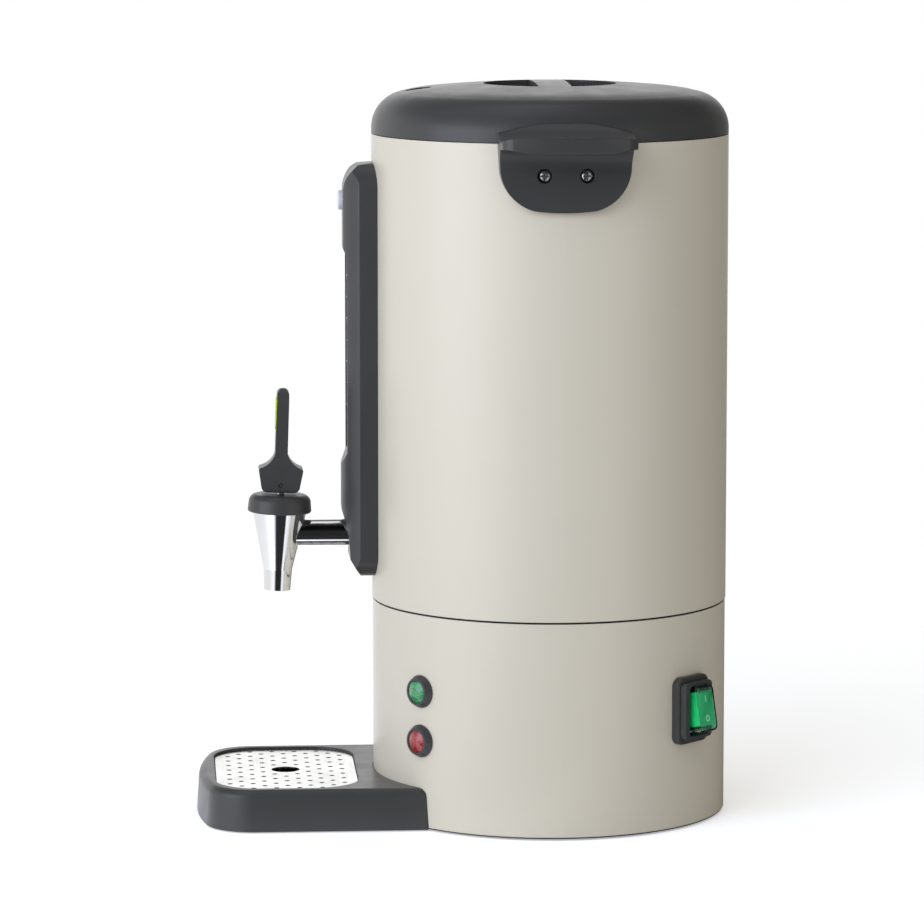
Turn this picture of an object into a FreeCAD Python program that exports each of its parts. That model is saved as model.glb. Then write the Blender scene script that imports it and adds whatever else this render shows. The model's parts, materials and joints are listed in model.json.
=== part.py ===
import FreeCAD, Part

import math
import os

# Countertop coffee urn. Millimetres, +Z up. The origin lies on the tank's axis at the
# height of the table. The tap points to -Y, and the carrying handles lie along X. A reach
# is a distance from the tank's axis, and what stands proud is measured from its wall.

# Fits, and how far cutting shapes run past a face
FIT = 0.1
RUNNING = 0.05
LOOSE = 0.3
TOUCH = 0.1
PAST = 1.0
FAR = 600.0

# Tank and base
BODY_RADIUS = 110.0
BODY_TOP = 421.0
SEAM_HEIGHT = 132.5
SEAM_GAP = 1.2
SEAM_RECESS = 1.4
SHEET = 0.8
BASE_STEP = 0.4
BASE_BOTTOM = 2.0
FLANGE_WIDTH = 8.0
FLOOR_RISE = 13.5
FLOOR_CORNER = 12.0
RIM_WIDTH = 5.2
RIM_DEPTH = 9.0

# Lid
LID_SEAM = 0.5
LID_WALL = 2.5
LID_SKIRT = 3.0
LID_SHOULDER = 22.3
LID_SHOULDER_TURN = 75.0
LID_SLOPE = 95.0
LID_SLOPE_TURN = 84.5
GRIP_RADIUS = 41.0
GRIP_BAR = 20.0
GRIP_BAR_SKIN = 4.0
GRIP_DEPTH = 17.0
VENT_INSET = 29.0
VENT_LENGTH = 16.4
VENT_WIDTH = 15.0
LINER_VENT_LIP = 1.5
LINER_THICK = 1.8
LINER_GAP = 0.2
LID_GASKET = 3.0
PLUG_GAP = 4.6
PLUG_DEPTH = 12.0
PLUG_WALL = 2.0
LUG_HEIGHT = 3.2
LUG_REACH = 4.0
LUG_SPAN = 20.0
TAB_SPAN = 24.0
TAB_HEIGHT = 3.0
TAB_ANGLES = (90.0, 210.0, 330.0)
STOP_SPAN = 2.0
STOP_GAP = 0.3
LOCK_TURN = 24.0
LID_SCREW_REACH = 62.0
LID_SCREW_ANGLES = (45.0, 135.0, 225.0, 315.0)
LID_SCREW_RADIUS = 1.5
LID_SCREW_BITE = 10.0
LID_SCREW_HEAD_RADIUS = 3.5
LID_SCREW_HEAD = 2.2
LID_BOSS_RADIUS = 4.0

# Carrying handles
HANDLE_HALF = 40.2
HANDLE_PROUD = 43.5
HANDLE_BOW = 140.0
HANDLE_SIDE_PROUD = 25.0
HANDLE_LIP_RISE = 6.8
HANDLE_LIP_BAND = 9.7
HANDLE_LIP_STEP = 3.0
HANDLE_LIP_EDGE = 1.2
HANDLE_LIP_ROOT = 4.0
HANDLE_TOP_ROUND = 0.9
HANDLE_LOW_ROUND = 1.0
HANDLE_DISH = 3.4
HANDLE_DISH_PROUD = 26.0
HANDLE_ARCH_RISE = 12.6
HANDLE_ARCH_RADIUS = 135.0
HANDLE_DROP = 40.7
HANDLE_WAIST = 1.2
HANDLE_WAIST_RISE = 2.6
HANDLE_KNEE = 22.0
HANDLE_KNEE_RISE = 1.2
HANDLE_BEND = 7.3
HANDLE_BEND_RISE = 10.4
HANDLE_ROOT = 20.0
HANDLE_DRAFT = 0.6
HANDLE_PLATE = 4.5
HANDLE_COVE = 14.0
HANDLE_LEDGE = 4.4
HANDLE_CORNER = 6.0
HANDLE_LID_GAP = 0.4
HANDLE_SCREW_DROP = 18.6
HANDLE_SCREW_SPACING = 24.4
SCREW_RADIUS = 2.0
SCREW_HEAD_RADIUS = 3.9
SCREW_HEAD = 2.6
SCREW_HEAD_SIDE = 0.35
SCREW_HEAD_SHOULDER = (0.72, 0.86)
CROSS_LENGTH = 1.3
CROSS_DEPTH = 0.7
CROSS_ARM = 5.0
SCREW_SINK = 2.2
SCREW_SINK_RADIUS = 4.4
SCREW_END = 5.0
NUT_PLATE_HEIGHT = 14.0
NUT_PLATE_THICK = 2.5
NUT_PLATE_SPAN = 22.0

# Level gauge
GAUGE_HALF = 24.0
GAUGE_BELOW_TAP = 25.9
GAUGE_DROP = 17.6
GAUGE_CORNER = 16.0
GAUGE_CREASE_PROUD = 8.5
GAUGE_RIDGE_FRONT = 6.0
GAUGE_WALL = 2.5
GAUGE_ROOT = 12.0
GAUGE_CHIN = 0.7
GAUGE_BULGE_LOW = 14.6
GAUGE_BULGE_HIGH = 4.0
GAUGE_BULGE_SINK = 5.1
GAUGE_BULGE_TURN = 1.5
GAUGE_SWELL = 0.3
GAUGE_RAMP_HIGH = 14.0
GAUGE_RAMP_SINK = 0.6
GAUGE_RIDGE_LOW = 24.0
GAUGE_BROW = 17.2
GAUGE_BROW_SINK = 1.5
GAUGE_BROW_TURN = 7.2
GAUGE_BROW_TURN_SINK = 4.4
GAUGE_BROW_TOP = 0.9
GAUGE_TOP_DEPTH = 8.0
GAUGE_SIDE_DRAFT = 0.4
GAUGE_CAVITY_CHIN = 16.0
GAUGE_CAVITY_BROW = 14.0
GAUGE_CAVITY_DEPTH = 3.0
WINDOW_RISE = 49.2
WINDOW_BELOW_CAP = 32.0
WINDOW_HALF = 14.4
WINDOW_SKIN = 1.6
WINDOW_RAMP = 4.0
WINDOW_SLOPE = 12.0
SLOT_HALF = 4.5
SLOT_MARGIN = 6.0
TUBE_STANDOFF = 6.8
TUBE_RADIUS = 4.5
TUBE_BORE = 3.2
TUBE_RISE = 10.4
TUBE_OVER_WINDOW = 8.0
BUSH_WALL = 1.0
BUSH_HEIGHT = 9.0
CLIP_OVER_TUBE = 2.0
CLIP_DEPTH = 4.0
SOCKET_WALL = 1.1
TEE_RADIUS = 9.5
TEE_BORE = 2.2
SCALE_HALF = 8.5
SCALE_THICK = 0.4
SCALE_BELOW_WINDOW = 6.0
CAP_DROP = 23.2
CAP_RADIUS = 6.0
CAP_PROUD = 1.3
CAP_SINK = 4.2
CAP_EDGE = 1.0
GAUGE_BOSS_RADIUS = 5.0
GAUGE_SCREW_SINK = 3.0
GAUGE_SCREW_END = 6.0
GAUGE_NUT_ACROSS = 7.0
GAUGE_NUT_HEIGHT = 5.2

# Tap
TAP_RISE = 27.6
TAP_PROUD = 58.0
TAP_LEAN = 2.0
PIPE_RADIUS = 8.5
SHANK_RADIUS = 6.0
SHANK_BORE = 4.0
SHANK_INSIDE = 16.2
SHANK_PORT = 2.0
WASHER_OUTSIDE = 1.4
WASHER_INSIDE = 3.2
WASHER_BORDER = 1.0
SHANK_NUT_ACROSS = 20.0
SHANK_NUT_HEIGHT = 7.0
SPOUT_RADIUS = 8.3
SPOUT_BORE = 5.5
SPOUT_DROP = 35.1
CONE_LOW_RADIUS = 9.0
CONE_LOW = 22.3
CONE_TOP_RADIUS = 16.9
CONE_TOP = 13.7
CHAMBER_RADIUS = 11.5
CHAMBER_LOW = 2.0
SEAT_LOW = 14.0
SEAT_GAP = 0.12
CUP_RISE = 1.5
CUP_CONE = 6.0
CUP_TOP = 3.0
STEM_SEAT = 3.0
BONNET_RADIUS = 19.75
BONNET_HEIGHT = 10.9
BONNET_PLUG = 4.0
BONNET_EDGE = 0.8
BONNET_TAPER = 0.5
BONNET_ROUND = 5.0
STEM_RADIUS = 2.5
EYE_RADIUS = 4.0
EYE_HALF = 2.5
EYE_GAP = 0.6
EYE_SWING = 2.6
PIN_RISE = 30.8
PIN_RADIUS = 1.6
PIN_SINK = 0.6
SPRING_COIL = 6.6
SPRING_WIRE = 0.6
SPRING_TURNS = 5.0
BOSS_GAP = 1.7
BOSS_LOW_HALF = 12.0
BOSS_HIGH_HALF = 13.7
BOSS_HEIGHT = 15.0
BOSS_WIDTH = 20.0
BOSS_FOOT = 4.2
BOSS_SIDE_ROUND = 2.0
BOSS_BEVEL = 1.2
BOSS_BEVEL_WIDTH = 0.7
LEVER_HEIGHT = 64.3
LEVER_THICK = 7.6
LEVER_ROOT = 9.0
LEVER_ROOT_TURN = (4.2, 2.6)
LEVER_DRAFT = 0.1
PADDLE_HALF = 9.0
PADDLE_TIP = 12.0
NECK_HALF = 6.5
NECK_RISE = 8.0
NECK_TURN = (1.2, 2.2)
NECK_SHOULDER = 1.5
WAIST_RISE = 20.0
WAIST_SPREAD = 0.6
INSERT_LOW = 64.9
INSERT_HIGH = 84.8
INSERT_HALF = 5.5
INSERT_DEPTH = 1.1
INSERT_PROUD = 0.6

# Drip tray and grid
TRAY_HALF = 75.8
TRAY_PROUD = 110.2
TRAY_CORNER = 30.0
TRAY_BOW = 250.0
TRAY_TOP = 26.0
TRAY_DRAFT = 1.6
TRAY_EDGE = 5.0
TRAY_MOUTH_EDGE = 0.8
TRAY_BOTTOM = 0.8
TRAY_WALL = 3.0
TRAY_GAP = 0.4
TRAY_WELL_CORNER = 18.0
GRID_LENGTH = 130.0
GRID_WIDTH = 86.9
GRID_BORDER = 11.8
GRID_CORNER = 28.0
GRID_SINK = 1.5
GRID_THICK = 1.0
GRID_FIT = 0.5
GRID_LEDGE = 4.0
GRID_HOLE = 1.6
GRID_PITCH = 14.4
GRID_COLUMN = 7.05
GRID_COLUMNS = 11
GRID_CENTRE_HOLE = 8.75
GRID_HOLE_MARGIN = 4.5
TONGUE_SPREAD = 40.0
TONGUE_WIDTH = 10.0
TONGUE_HEIGHT = 4.0
TONGUE_LOW = 12.0
TONGUE_LENGTH = 12.0
TONGUE_ROOT = 8.0
TONGUE_FIT = 0.5
PAD_RADIUS = 6.0
PAD_SINK = 1.0
PAD_SIDE = 48.0
PAD_SPREAD = 30.0

# Base fittings
COVER_LIP = 0.8
COVER_RECESS = 6.0
COVER_RIM = 12.6
COVER_SLOPE = 3.6
COVER_VENTS = 24
COVER_VENT_START = 24.0
COVER_VENT_END = 58.0
COVER_VENT_HALF = 1.8
FOOT_INSET = 28.0
FOOT_RADIUS = 9.0
FOOT_ANGLES = (45.0, 135.0, 225.0, 315.0)
FOOT_ROUND = 1.5
FOOT_NECK = 3.2
FOOT_BARB = 1.2
FOOT_TIP = 2.2
FOOT_BARB_HEIGHT = 4.0
ROD_INSET = 22.0
ROD_RADIUS = 2.5
ROD_ANGLES = (30.0, 150.0, 270.0)
ROD_END = 2.4
NUT_ACROSS = 8.0
NUT_HEIGHT = 4.0
LAMP_ANGLE = -50.0
LAMP_RED_HEIGHT = 55.2
LAMP_SPACING = 30.6
LAMP_RADIUS = 10.0
LAMP_FACE_RADIUS = 8.2
LAMP_EDGE = 1.0
LAMP_BARREL = 6.0
LAMP_PROUD = 4.2
LAMP_DEPTH = 20.0
LAMP_NUT_ACROSS = 17.0
LAMP_NUT_HEIGHT = 5.0
LENS_RADIUS = 6.8
LENS_SINK = 2.0
LENS_EDGE = 1.6
LENS_HEIGHT = 3.4
SWITCH_ANGLE = 46.5
SWITCH_HEIGHT = 74.0
SWITCH_PLATE_SIDE = 1.9
SWITCH_PLATE_END = 3.2
SWITCH_PLATE_CORNER = 5.5
SWITCH_PLATE_PROUD = 4.0
SWITCH_PLATE_EDGE = 1.5
SWITCH_HALF_WIDTH = 13.5
SWITCH_HALF_HEIGHT = 17.5
SWITCH_BODY_CORNER = 3.0
SWITCH_SIDE_WALL = 4.4
SWITCH_END_WALL = 2.0
SWITCH_CAVITY_CORNER = 2.0
SWITCH_RISE = 4.0
SWITCH_EDGE = 0.7
SWITCH_DEPTH = 21.6
SWITCH_CAVITY_DEPTH = 9.6
SWITCH_BLADE_SPREAD = 11.0
BOOT_SIDE_GAP = 0.3
BOOT_END_GAP = 1.2
BOOT_FACE = 14.6
BOOT_WALL = 1.4
BOOT_CORNER = 3.5
BOOT_EDGE = 1.6
BOOT_LIFT = 1.0
ROCKER_SIDE_GAP = 0.7
ROCKER_END_GAP = 2.4
ROCKER_CORNER = 1.2
ROCKER_BACK = 6.0
ROCKER_STANDOFF = 2.4
ROCKER_PIN = 1.5
ROCKER_PIN_SKIN = 0.5
ROCKER_TILT = 9.1
GLAND_HEIGHT = 28.0
GLAND_ANGLE = 120.0
GLAND_RADIUS = 10.0
GLAND_FLANGE = 4.4
GLAND_BARREL = 7.6
GLAND_BORE = 4.0
GLAND_WALL = 2.2
GLAND_NOSE = 14.0
GLAND_NOSE_RADIUS = 8.5
GLAND_NOSE_SIDE = 3.0
GLAND_INSIDE = 12.0
GLAND_NUT_ACROSS = 19.0
GLAND_NUT_HEIGHT = 6.0
BLADE_LENGTH = 8.0
BLADE_HALF = 0.4
BLADE_WIDE_HALF = 2.4
SWITCH_BLADE_HALF = 3.2
LAMP_BLADE_SPREAD = 3.0

# Heater
WELL_RADIUS = 26.0
WELL_DEPTH = 12.0
WELL_FLANGE = 5.0
HEATER_RADIUS = 55.0
HEATER_THICK = 12.0
ELEMENT_RADIUS = 41.0
ELEMENT_WIRE = 3.3
ELEMENT_TURN = 320.0
ELEMENT_LEG = 14.0
ELEMENT_PIN = 1.2
ELEMENT_PIN_LENGTH = 6.0
CLAMP_RADIUS = 48.0
CLAMP_THICK = 2.0
CLAMP_HOLE_GAP = 1.5
STUD_SPARE = 1.0
STAT_GAP = 9.0
STAT_RADIUS = 8.0
STAT_DEPTH = 8.0
STAT_FLANGE_LENGTH = 24.0
STAT_FLANGE_WIDTH = 8.0
STAT_FLANGE_THICK = 1.0
STAT_BLADE_SPREAD = 4.0
KEEP_WARM_ANGLE = 0.0
BOIL_DRY_ANGLE = 180.0

# Wiring
TERMINAL_X = -14.0
TERMINAL_Y = 0.0
TERMINAL_COUNT = 6
TERMINAL_PITCH = 10.0
TERMINAL_END = 2.0
TERMINAL_WIDTH = 16.0
TERMINAL_HEIGHT = 14.0
TERMINAL_CORNER = 2.0
TERMINAL_BORE = 2.2
TERMINAL_DEPTH = 5.0
WIRE_RADIUS = 1.1
WIRE_BEND = 6.0
WIRE_LEAD = 9.0
WIRE_LEVEL = 28.0
WIRE_LEVEL_STEP = 8.0
WIRE_RANKS = (2, 3, 4, 5, 1, 0)

# Brewing pieces
PUMP_RADIUS = 6.0
PUMP_BORE = 5.0
PUMP_DROP = 7.0
BELL_FIT = 0.6
BELL_SIDE = 9.0
BELL_ROUND = 8.0
BELL_TURN = 3.0
BELL_TURN_RISE = 14.0
BELL_SHOULDER = 17.0
BELL_TOP = 22.0
COLLAR_WIDTH = 3.0
COLLAR_HEIGHT = 3.0
DECK_RISE = 5.0
DECK_THICK = 1.0
DECK_HOLE = 3.0
DECK_HOLE_REACH = 12.0
DECK_HOLES = 6
NOTCH_RADIUS = 2.4
NOTCH_ANGLES = (45.0, 135.0, 225.0, 315.0)
PEG_RADIUS = 3.0
PEG_HEIGHT = 4.0
PEG_HEAD = 1.5
PEG_HEAD_THICK = 1.0
WASHER_GAP = 6.3
BASKET_RADIUS = 78.0
BASKET_DROP = 81.0
BASKET_HEIGHT = 60.0
BASKET_CORNER = 4.0
BASKET_RIM = 3.0
BASKET_RIM_THICK = 1.0
BASKET_SLEEVE_DROP = 4.0
SIEVE_HOLE = 1.6
SIEVE_START = 18.0
SIEVE_STEP = 12.0
SIEVE_PITCH = 13.0
SIEVE_BORDER = 6.0
SPREADER_RIM = 2.0
SPREADER_SINK = 3.2
SPREADER_SLEEVE = 5.0
SPREADER_GAP = 1.2
SPREADER_START = 22.0
SPREADER_STEP = 16.0
SPREADER_PITCH = 17.0

# Radii and reaches that follow from the sizes above
TANK_INNER = BODY_RADIUS - SHEET
BASE_RADIUS = BODY_RADIUS - BASE_STEP
BASE_INNER = BASE_RADIUS - SHEET
RIM_BORE = TANK_INNER - RIM_WIDTH
PLUG_RADIUS = RIM_BORE - PLUG_GAP
VENT_REACH = BODY_RADIUS - VENT_INSET
HANDLE_FRONT = BODY_RADIUS + HANDLE_PROUD
GAUGE_CREASE = BODY_RADIUS + GAUGE_CREASE_PROUD
TUBE_REACH = BODY_RADIUS + TUBE_STANDOFF
SOCKET_RADIUS = TUBE_RADIUS + BUSH_WALL
GAUGE_CAVITY_FRONT = TUBE_REACH + SOCKET_RADIUS + SOCKET_WALL
GAUGE_RIDGE = GAUGE_CAVITY_FRONT + GAUGE_RIDGE_FRONT
WINDOW_FLOOR = GAUGE_CAVITY_FRONT + WINDOW_SKIN
CAP_FRONT = GAUGE_RIDGE + CAP_PROUD
CAP_SEAT = GAUGE_RIDGE - CAP_SINK
GAUGE_SCREW_SEAT = CAP_SEAT - GAUGE_SCREW_SINK
TAP_REACH = BODY_RADIUS + TAP_PROUD
SHANK_END = TANK_INNER - SHANK_INSIDE
TEE_BACK = BODY_RADIUS + WASHER_OUTSIDE
TRAY_FRONT = BASE_RADIUS + TRAY_PROUD
GRID_FRONT = TRAY_FRONT - GRID_BORDER
GRID_BACK = GRID_FRONT - GRID_WIDTH
FOOT_REACH = BODY_RADIUS - FOOT_INSET
ROD_REACH = BODY_RADIUS - ROD_INSET
COVER_RECESS_RADIUS = BASE_RADIUS - COVER_RIM
SWITCH_FACE = BASE_RADIUS + SWITCH_PLATE_PROUD
SWITCH_BODY_BACK = BASE_RADIUS - SWITCH_DEPTH
SWITCH_CAVITY_BACK = BASE_RADIUS - SWITCH_CAVITY_DEPTH
ROCKER_AXIS = BASE_RADIUS + ROCKER_STANDOFF
SWITCH_HALF = (SWITCH_HALF_WIDTH, SWITCH_HALF_HEIGHT)
SWITCH_PLATE_HALF = (SWITCH_HALF_WIDTH + SWITCH_PLATE_SIDE, SWITCH_HALF_HEIGHT + SWITCH_PLATE_END)
SWITCH_CAVITY_HALF = (SWITCH_HALF_WIDTH - SWITCH_SIDE_WALL, SWITCH_HALF_HEIGHT - SWITCH_END_WALL)
BOOT_HALF = (SWITCH_CAVITY_HALF[0] - BOOT_SIDE_GAP, SWITCH_CAVITY_HALF[1] - BOOT_END_GAP)
BOOT_INNER_HALF = (BOOT_HALF[0] - BOOT_WALL, BOOT_HALF[1] - BOOT_WALL)
ROCKER_HALF = (BOOT_INNER_HALF[0] - ROCKER_SIDE_GAP, BOOT_INNER_HALF[1] - ROCKER_END_GAP)
STAT_REACH = HEATER_RADIUS + STAT_GAP + STAT_RADIUS
PUMP_BELL = WELL_RADIUS - SHEET - BELL_FIT
WASHER_RADIUS = PUMP_BELL - SHEET - WASHER_GAP

# Heights that follow
TANK_LOW = SEAM_HEIGHT + SEAM_GAP
TANK_FLOOR = SEAM_HEIGHT + FLOOR_RISE
FLOOR_UNDER = TANK_FLOOR - SHEET
RIM_LOW = BODY_TOP - RIM_DEPTH
LID_LOW = BODY_TOP + LID_SEAM
LINER_LOW = BODY_TOP + LID_GASKET
LINER_HIGH = LINER_LOW + LINER_THICK
PLUG_LOW = LINER_LOW - PLUG_DEPTH
HANDLE_LIP_TOP = BODY_TOP + HANDLE_LIP_RISE
HANDLE_LIP_LOW = HANDLE_LIP_TOP - HANDLE_LIP_BAND
HANDLE_ARCH_TOP = BODY_TOP + HANDLE_ARCH_RISE
HANDLE_BOTTOM = BODY_TOP - HANDLE_DROP
HANDLE_SCREW_HEIGHT = BODY_TOP - HANDLE_SCREW_DROP
TAP_HEIGHT = TANK_FLOOR + TAP_RISE
GAUGE_LOW = TAP_HEIGHT - GAUGE_BELOW_TAP
GAUGE_HIGH = BODY_TOP - GAUGE_DROP
CAP_HEIGHT = GAUGE_HIGH - CAP_DROP
WINDOW_LOW = TAP_HEIGHT + WINDOW_RISE
WINDOW_HIGH = CAP_HEIGHT - WINDOW_BELOW_CAP
TUBE_LOW = TAP_HEIGHT + TUBE_RISE
TUBE_HIGH = WINDOW_HIGH + TUBE_OVER_WINDOW
BONNET_TOP = CONE_TOP + BONNET_HEIGHT
LEVER_LOW = BONNET_TOP + BOSS_GAP
GRID_TOP = TRAY_TOP - GRID_SINK
GRID_SEAT = GRID_TOP - GRID_THICK
LAMP_HEIGHTS = {"red": LAMP_RED_HEIGHT, "green": LAMP_RED_HEIGHT + LAMP_SPACING}
COVER_TOP = BASE_BOTTOM + COVER_RECESS
COVER_UNDER = COVER_TOP - SHEET
WELL_FLOOR = TANK_FLOOR - WELL_DEPTH
HEATER_LOW = FLOOR_UNDER - HEATER_THICK
CLAMP_LOW = HEATER_LOW - CLAMP_THICK
ELEMENT_END = HEATER_LOW - ELEMENT_LEG - ELEMENT_PIN_LENGTH
STAT_END = FLOOR_UNDER - STAT_DEPTH - BLADE_LENGTH
PUMP_TOP = BODY_TOP - PUMP_DROP
BASKET_LOW = BODY_TOP - BASKET_DROP
BASKET_TOP = BASKET_LOW + BASKET_HEIGHT

# How far the middle of a quarter round lies from its square corner's sides, in radii
ROUNDING = 1 - math.sqrt(0.5)


def vector(x, y, z):
    return FreeCAD.Vector(x, y, z)


def on_xz(x, z):
    return vector(x, 0, z)


def on_yz(y, z):
    return vector(0, y, z)


def on_xy(x, y):
    return vector(x, y, 0)


def round_z(reach, turn, height):
    """A point from its distance to the axis, its turn about Z and its height."""
    angle = math.radians(turn)
    return vector(reach * math.cos(angle), reach * math.sin(angle), height)


def outline(place, start, *steps):
    """A closed face. A step is a point for a straight line, or (middle, end) for an arc."""
    edges = []
    here = start
    for step in steps + (start,):
        if isinstance(step[0], tuple):
            middle, there = step
            edges.append(Part.Arc(place(*here), place(*middle), place(*there)).toShape())
            here = there
        elif step != here:
            edges.append(Part.LineSegment(place(*here), place(*step)).toShape())
            here = step
    return Part.Face(Part.Wire(edges))


def flipped(point):
    return (-point[0], point[1])


def backwards(start, *steps):
    """The steps of one half of an outline, on the other side and run back to its start."""
    back = []
    here = start
    for step in steps:
        if isinstance(step[0], tuple):
            back.append((flipped(step[0]), flipped(here)))
            here = step[1]
        else:
            back.append(flipped(here))
            here = step
    return reversed(back)


def cap_arc(radius, low, high):
    """The step over a spherical cap, from its rim at the height low to its top."""
    crown = high - low
    sphere = (radius ** 2 + crown ** 2) / (2 * crown)
    half_turn = math.asin(radius / sphere) / 2
    middle = (sphere * math.sin(half_turn), high - sphere * (1 - math.cos(half_turn)))
    return (middle, (0.0, high))


def revolved(start, *steps):
    """A solid of revolution about Z from an outline in radius and height."""
    return outline(on_xz, start, *steps).revolve(vector(0, 0, 0), vector(0, 0, 1), 360)


def disc(radius, low, high):
    return Part.makeCylinder(radius, high - low, vector(0, 0, low))


def ring(outer, inner, low, high):
    return disc(outer, low, high).cut(disc(inner, low - PAST, high + PAST))


def sector(outer, inner, low, high, centre, span):
    """A piece of a ring, span degrees wide about the angle centre."""
    face = outline(on_xz, (inner, low), (outer, low), (outer, high), (inner, high))
    piece = face.revolve(vector(0, 0, 0), vector(0, 0, 1), span)
    return about_z(piece, centre - span / 2)


def block(x, y, z):
    """A box from three (low, high) pairs."""
    return Part.makeBox(x[1] - x[0], y[1] - y[0], z[1] - z[0], vector(x[0], y[0], z[0]))


def rod_x(radius, x, y, z):
    return Part.makeCylinder(radius, x[1] - x[0], vector(x[0], y, z), vector(1, 0, 0))


def rod_y(radius, x, y, z):
    return Part.makeCylinder(radius, y[1] - y[0], vector(x, y[0], z), vector(0, 1, 0))


def rod_z(radius, x, y, z):
    return Part.makeCylinder(radius, z[1] - z[0], vector(x, y, z[0]))


def hexagon(across, low, high):
    """A hexagonal prism on the Z axis, across its flats."""
    corners = [round_z(across / math.sqrt(3), 60 * i, low) for i in range(7)]
    return Part.Face(Part.makePolygon(corners)).extrude(vector(0, 0, high - low))


def at(shape, x, y, z):
    copy = shape.copy()
    copy.translate(vector(x, y, z))
    return copy


def along_x(face, low, high):
    return at(face.extrude(vector(high - low, 0, 0)), low, 0, 0)


def along_y(face, low, high):
    return at(face.extrude(vector(0, high - low, 0)), 0, low, 0)


def along_z(face, low, high):
    return at(face.extrude(vector(0, 0, high - low)), 0, 0, low)


def about_z(shape, angle):
    copy = shape.copy()
    copy.rotate(vector(0, 0, 0), vector(0, 0, 1), angle)
    return copy


def about_y(shape, angle, x):
    """Turn a shape about the line along Y through x."""
    copy = shape.copy()
    copy.rotate(vector(x, 0, 0), vector(0, 1, 0), angle)
    return copy


def outward(shape):
    """Turn a shape made on the Z axis so that it lies along +X."""
    return about_y(shape, 90, 0)


def mirrored_x(shape):
    return shape.mirror(vector(0, 0, 0), vector(1, 0, 0))


def joined(first, *others):
    return first.fuse(list(others)).removeSplitter()


def group(shapes):
    return Part.makeCompound(list(shapes))


def around(angles, shape):
    return [about_z(shape, angle) for angle in angles]


def evenly(count):
    return [360.0 * i / count for i in range(count)]


def corner_arc(corner, back, on, trim):
    """The arc that leaves both directions from a corner at the distance trim."""
    half = math.acos(back.dot(on)) / 2
    middle = (back + on).normalize() * (trim * (1 - math.sin(half)) / math.cos(half))
    return Part.Arc(corner + back * trim, corner + middle, corner + on * trim).toShape()


def rounded_face(place, a, b, corner):
    """A rectangle with rounded corners from two (low, high) pairs."""
    (a0, a1), (b0, b1) = a, b
    bulge = corner * ROUNDING
    return outline(place, (a0 + corner, b0), (a1 - corner, b0),
                   ((a1 - bulge, b0 + bulge), (a1, b0 + corner)), (a1, b1 - corner),
                   ((a1 - bulge, b1 - bulge), (a1 - corner, b1)), (a0 + corner, b1),
                   ((a0 + bulge, b1 - bulge), (a0, b1 - corner)), (a0, b0 + corner),
                   ((a0 + bulge, b0 + bulge), (a0 + corner, b0)))


def rounded_block_x(x, half, corner):
    """A block along X with rounded corners, half its width and height about the X axis."""
    half_y, half_z = half
    return along_x(rounded_face(on_yz, (-half_y, half_y), (-half_z, half_z), corner), *x)


def rounded_block_z(x, y, z, corner):
    return along_z(rounded_face(on_xy, x, y, corner), *z)


def edges_where(shape, test):
    return [edge for edge in shape.Edges if test(edge.BoundBox)]


# Tank
def handle_screw_places():
    """Turn about the tank's axis of each handle screw, the right handle's two first."""
    half_turn = math.degrees(math.asin(HANDLE_SCREW_SPACING / 2 / BODY_RADIUS))
    return [side + turn for side in (0.0, 180.0) for turn in (-half_turn, half_turn)]


def tank():
    wall = ring(BODY_RADIUS, TANK_INNER, TANK_LOW, BODY_TOP)
    flange = ring(BODY_RADIUS, BODY_RADIUS - FLANGE_WIDTH, TANK_LOW, TANK_LOW + SHEET)
    flat = TANK_INNER - FLOOR_CORNER
    rise = FLOOR_CORNER * ROUNDING
    floor = revolved((WELL_RADIUS, FLOOR_UNDER), (flat, FLOOR_UNDER),
                     ((TANK_INNER - rise, FLOOR_UNDER + rise), (TANK_INNER, FLOOR_UNDER + FLOOR_CORNER)),
                     (TANK_INNER, TANK_FLOOR + FLOOR_CORNER),
                     ((TANK_INNER - rise, TANK_FLOOR + rise), (flat, TANK_FLOOR)),
                     (WELL_RADIUS, TANK_FLOOR))
    shell = joined(wall, flange, floor)
    shell = shell.cut(rod_y(SHANK_RADIUS + FIT, 0, (-FAR, 0), TAP_HEIGHT))
    shell = shell.cut(rod_y(SCREW_RADIUS + FIT, 0, (-FAR, 0), CAP_HEIGHT))
    screw_hole = rod_x(SCREW_RADIUS + FIT, (0, FAR), 0, HANDLE_SCREW_HEIGHT)
    for turn in handle_screw_places():
        shell = shell.cut(about_z(screw_hole, turn))
    return shell


def rim_ring():
    """Moulded ring inside the tank's mouth, with the tabs that hold the locked lid down."""
    body = ring(TANK_INNER, RIM_BORE, RIM_LOW, BODY_TOP)
    inner = PLUG_RADIUS + LOOSE
    tab_low = PLUG_LOW + LUG_HEIGHT + LOOSE
    tabs = [sector(RIM_BORE + PAST, inner, tab_low, tab_low + TAB_HEIGHT, angle, TAB_SPAN)
            for angle in TAB_ANGLES]
    stop_turn = (LUG_SPAN + STOP_SPAN) / 2 + STOP_GAP
    stops = [sector(RIM_BORE + PAST, inner, RIM_LOW, tab_low + PAST, angle - stop_turn, STOP_SPAN)
             for angle in TAB_ANGLES]
    return joined(body, *tabs, *stops)


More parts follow.
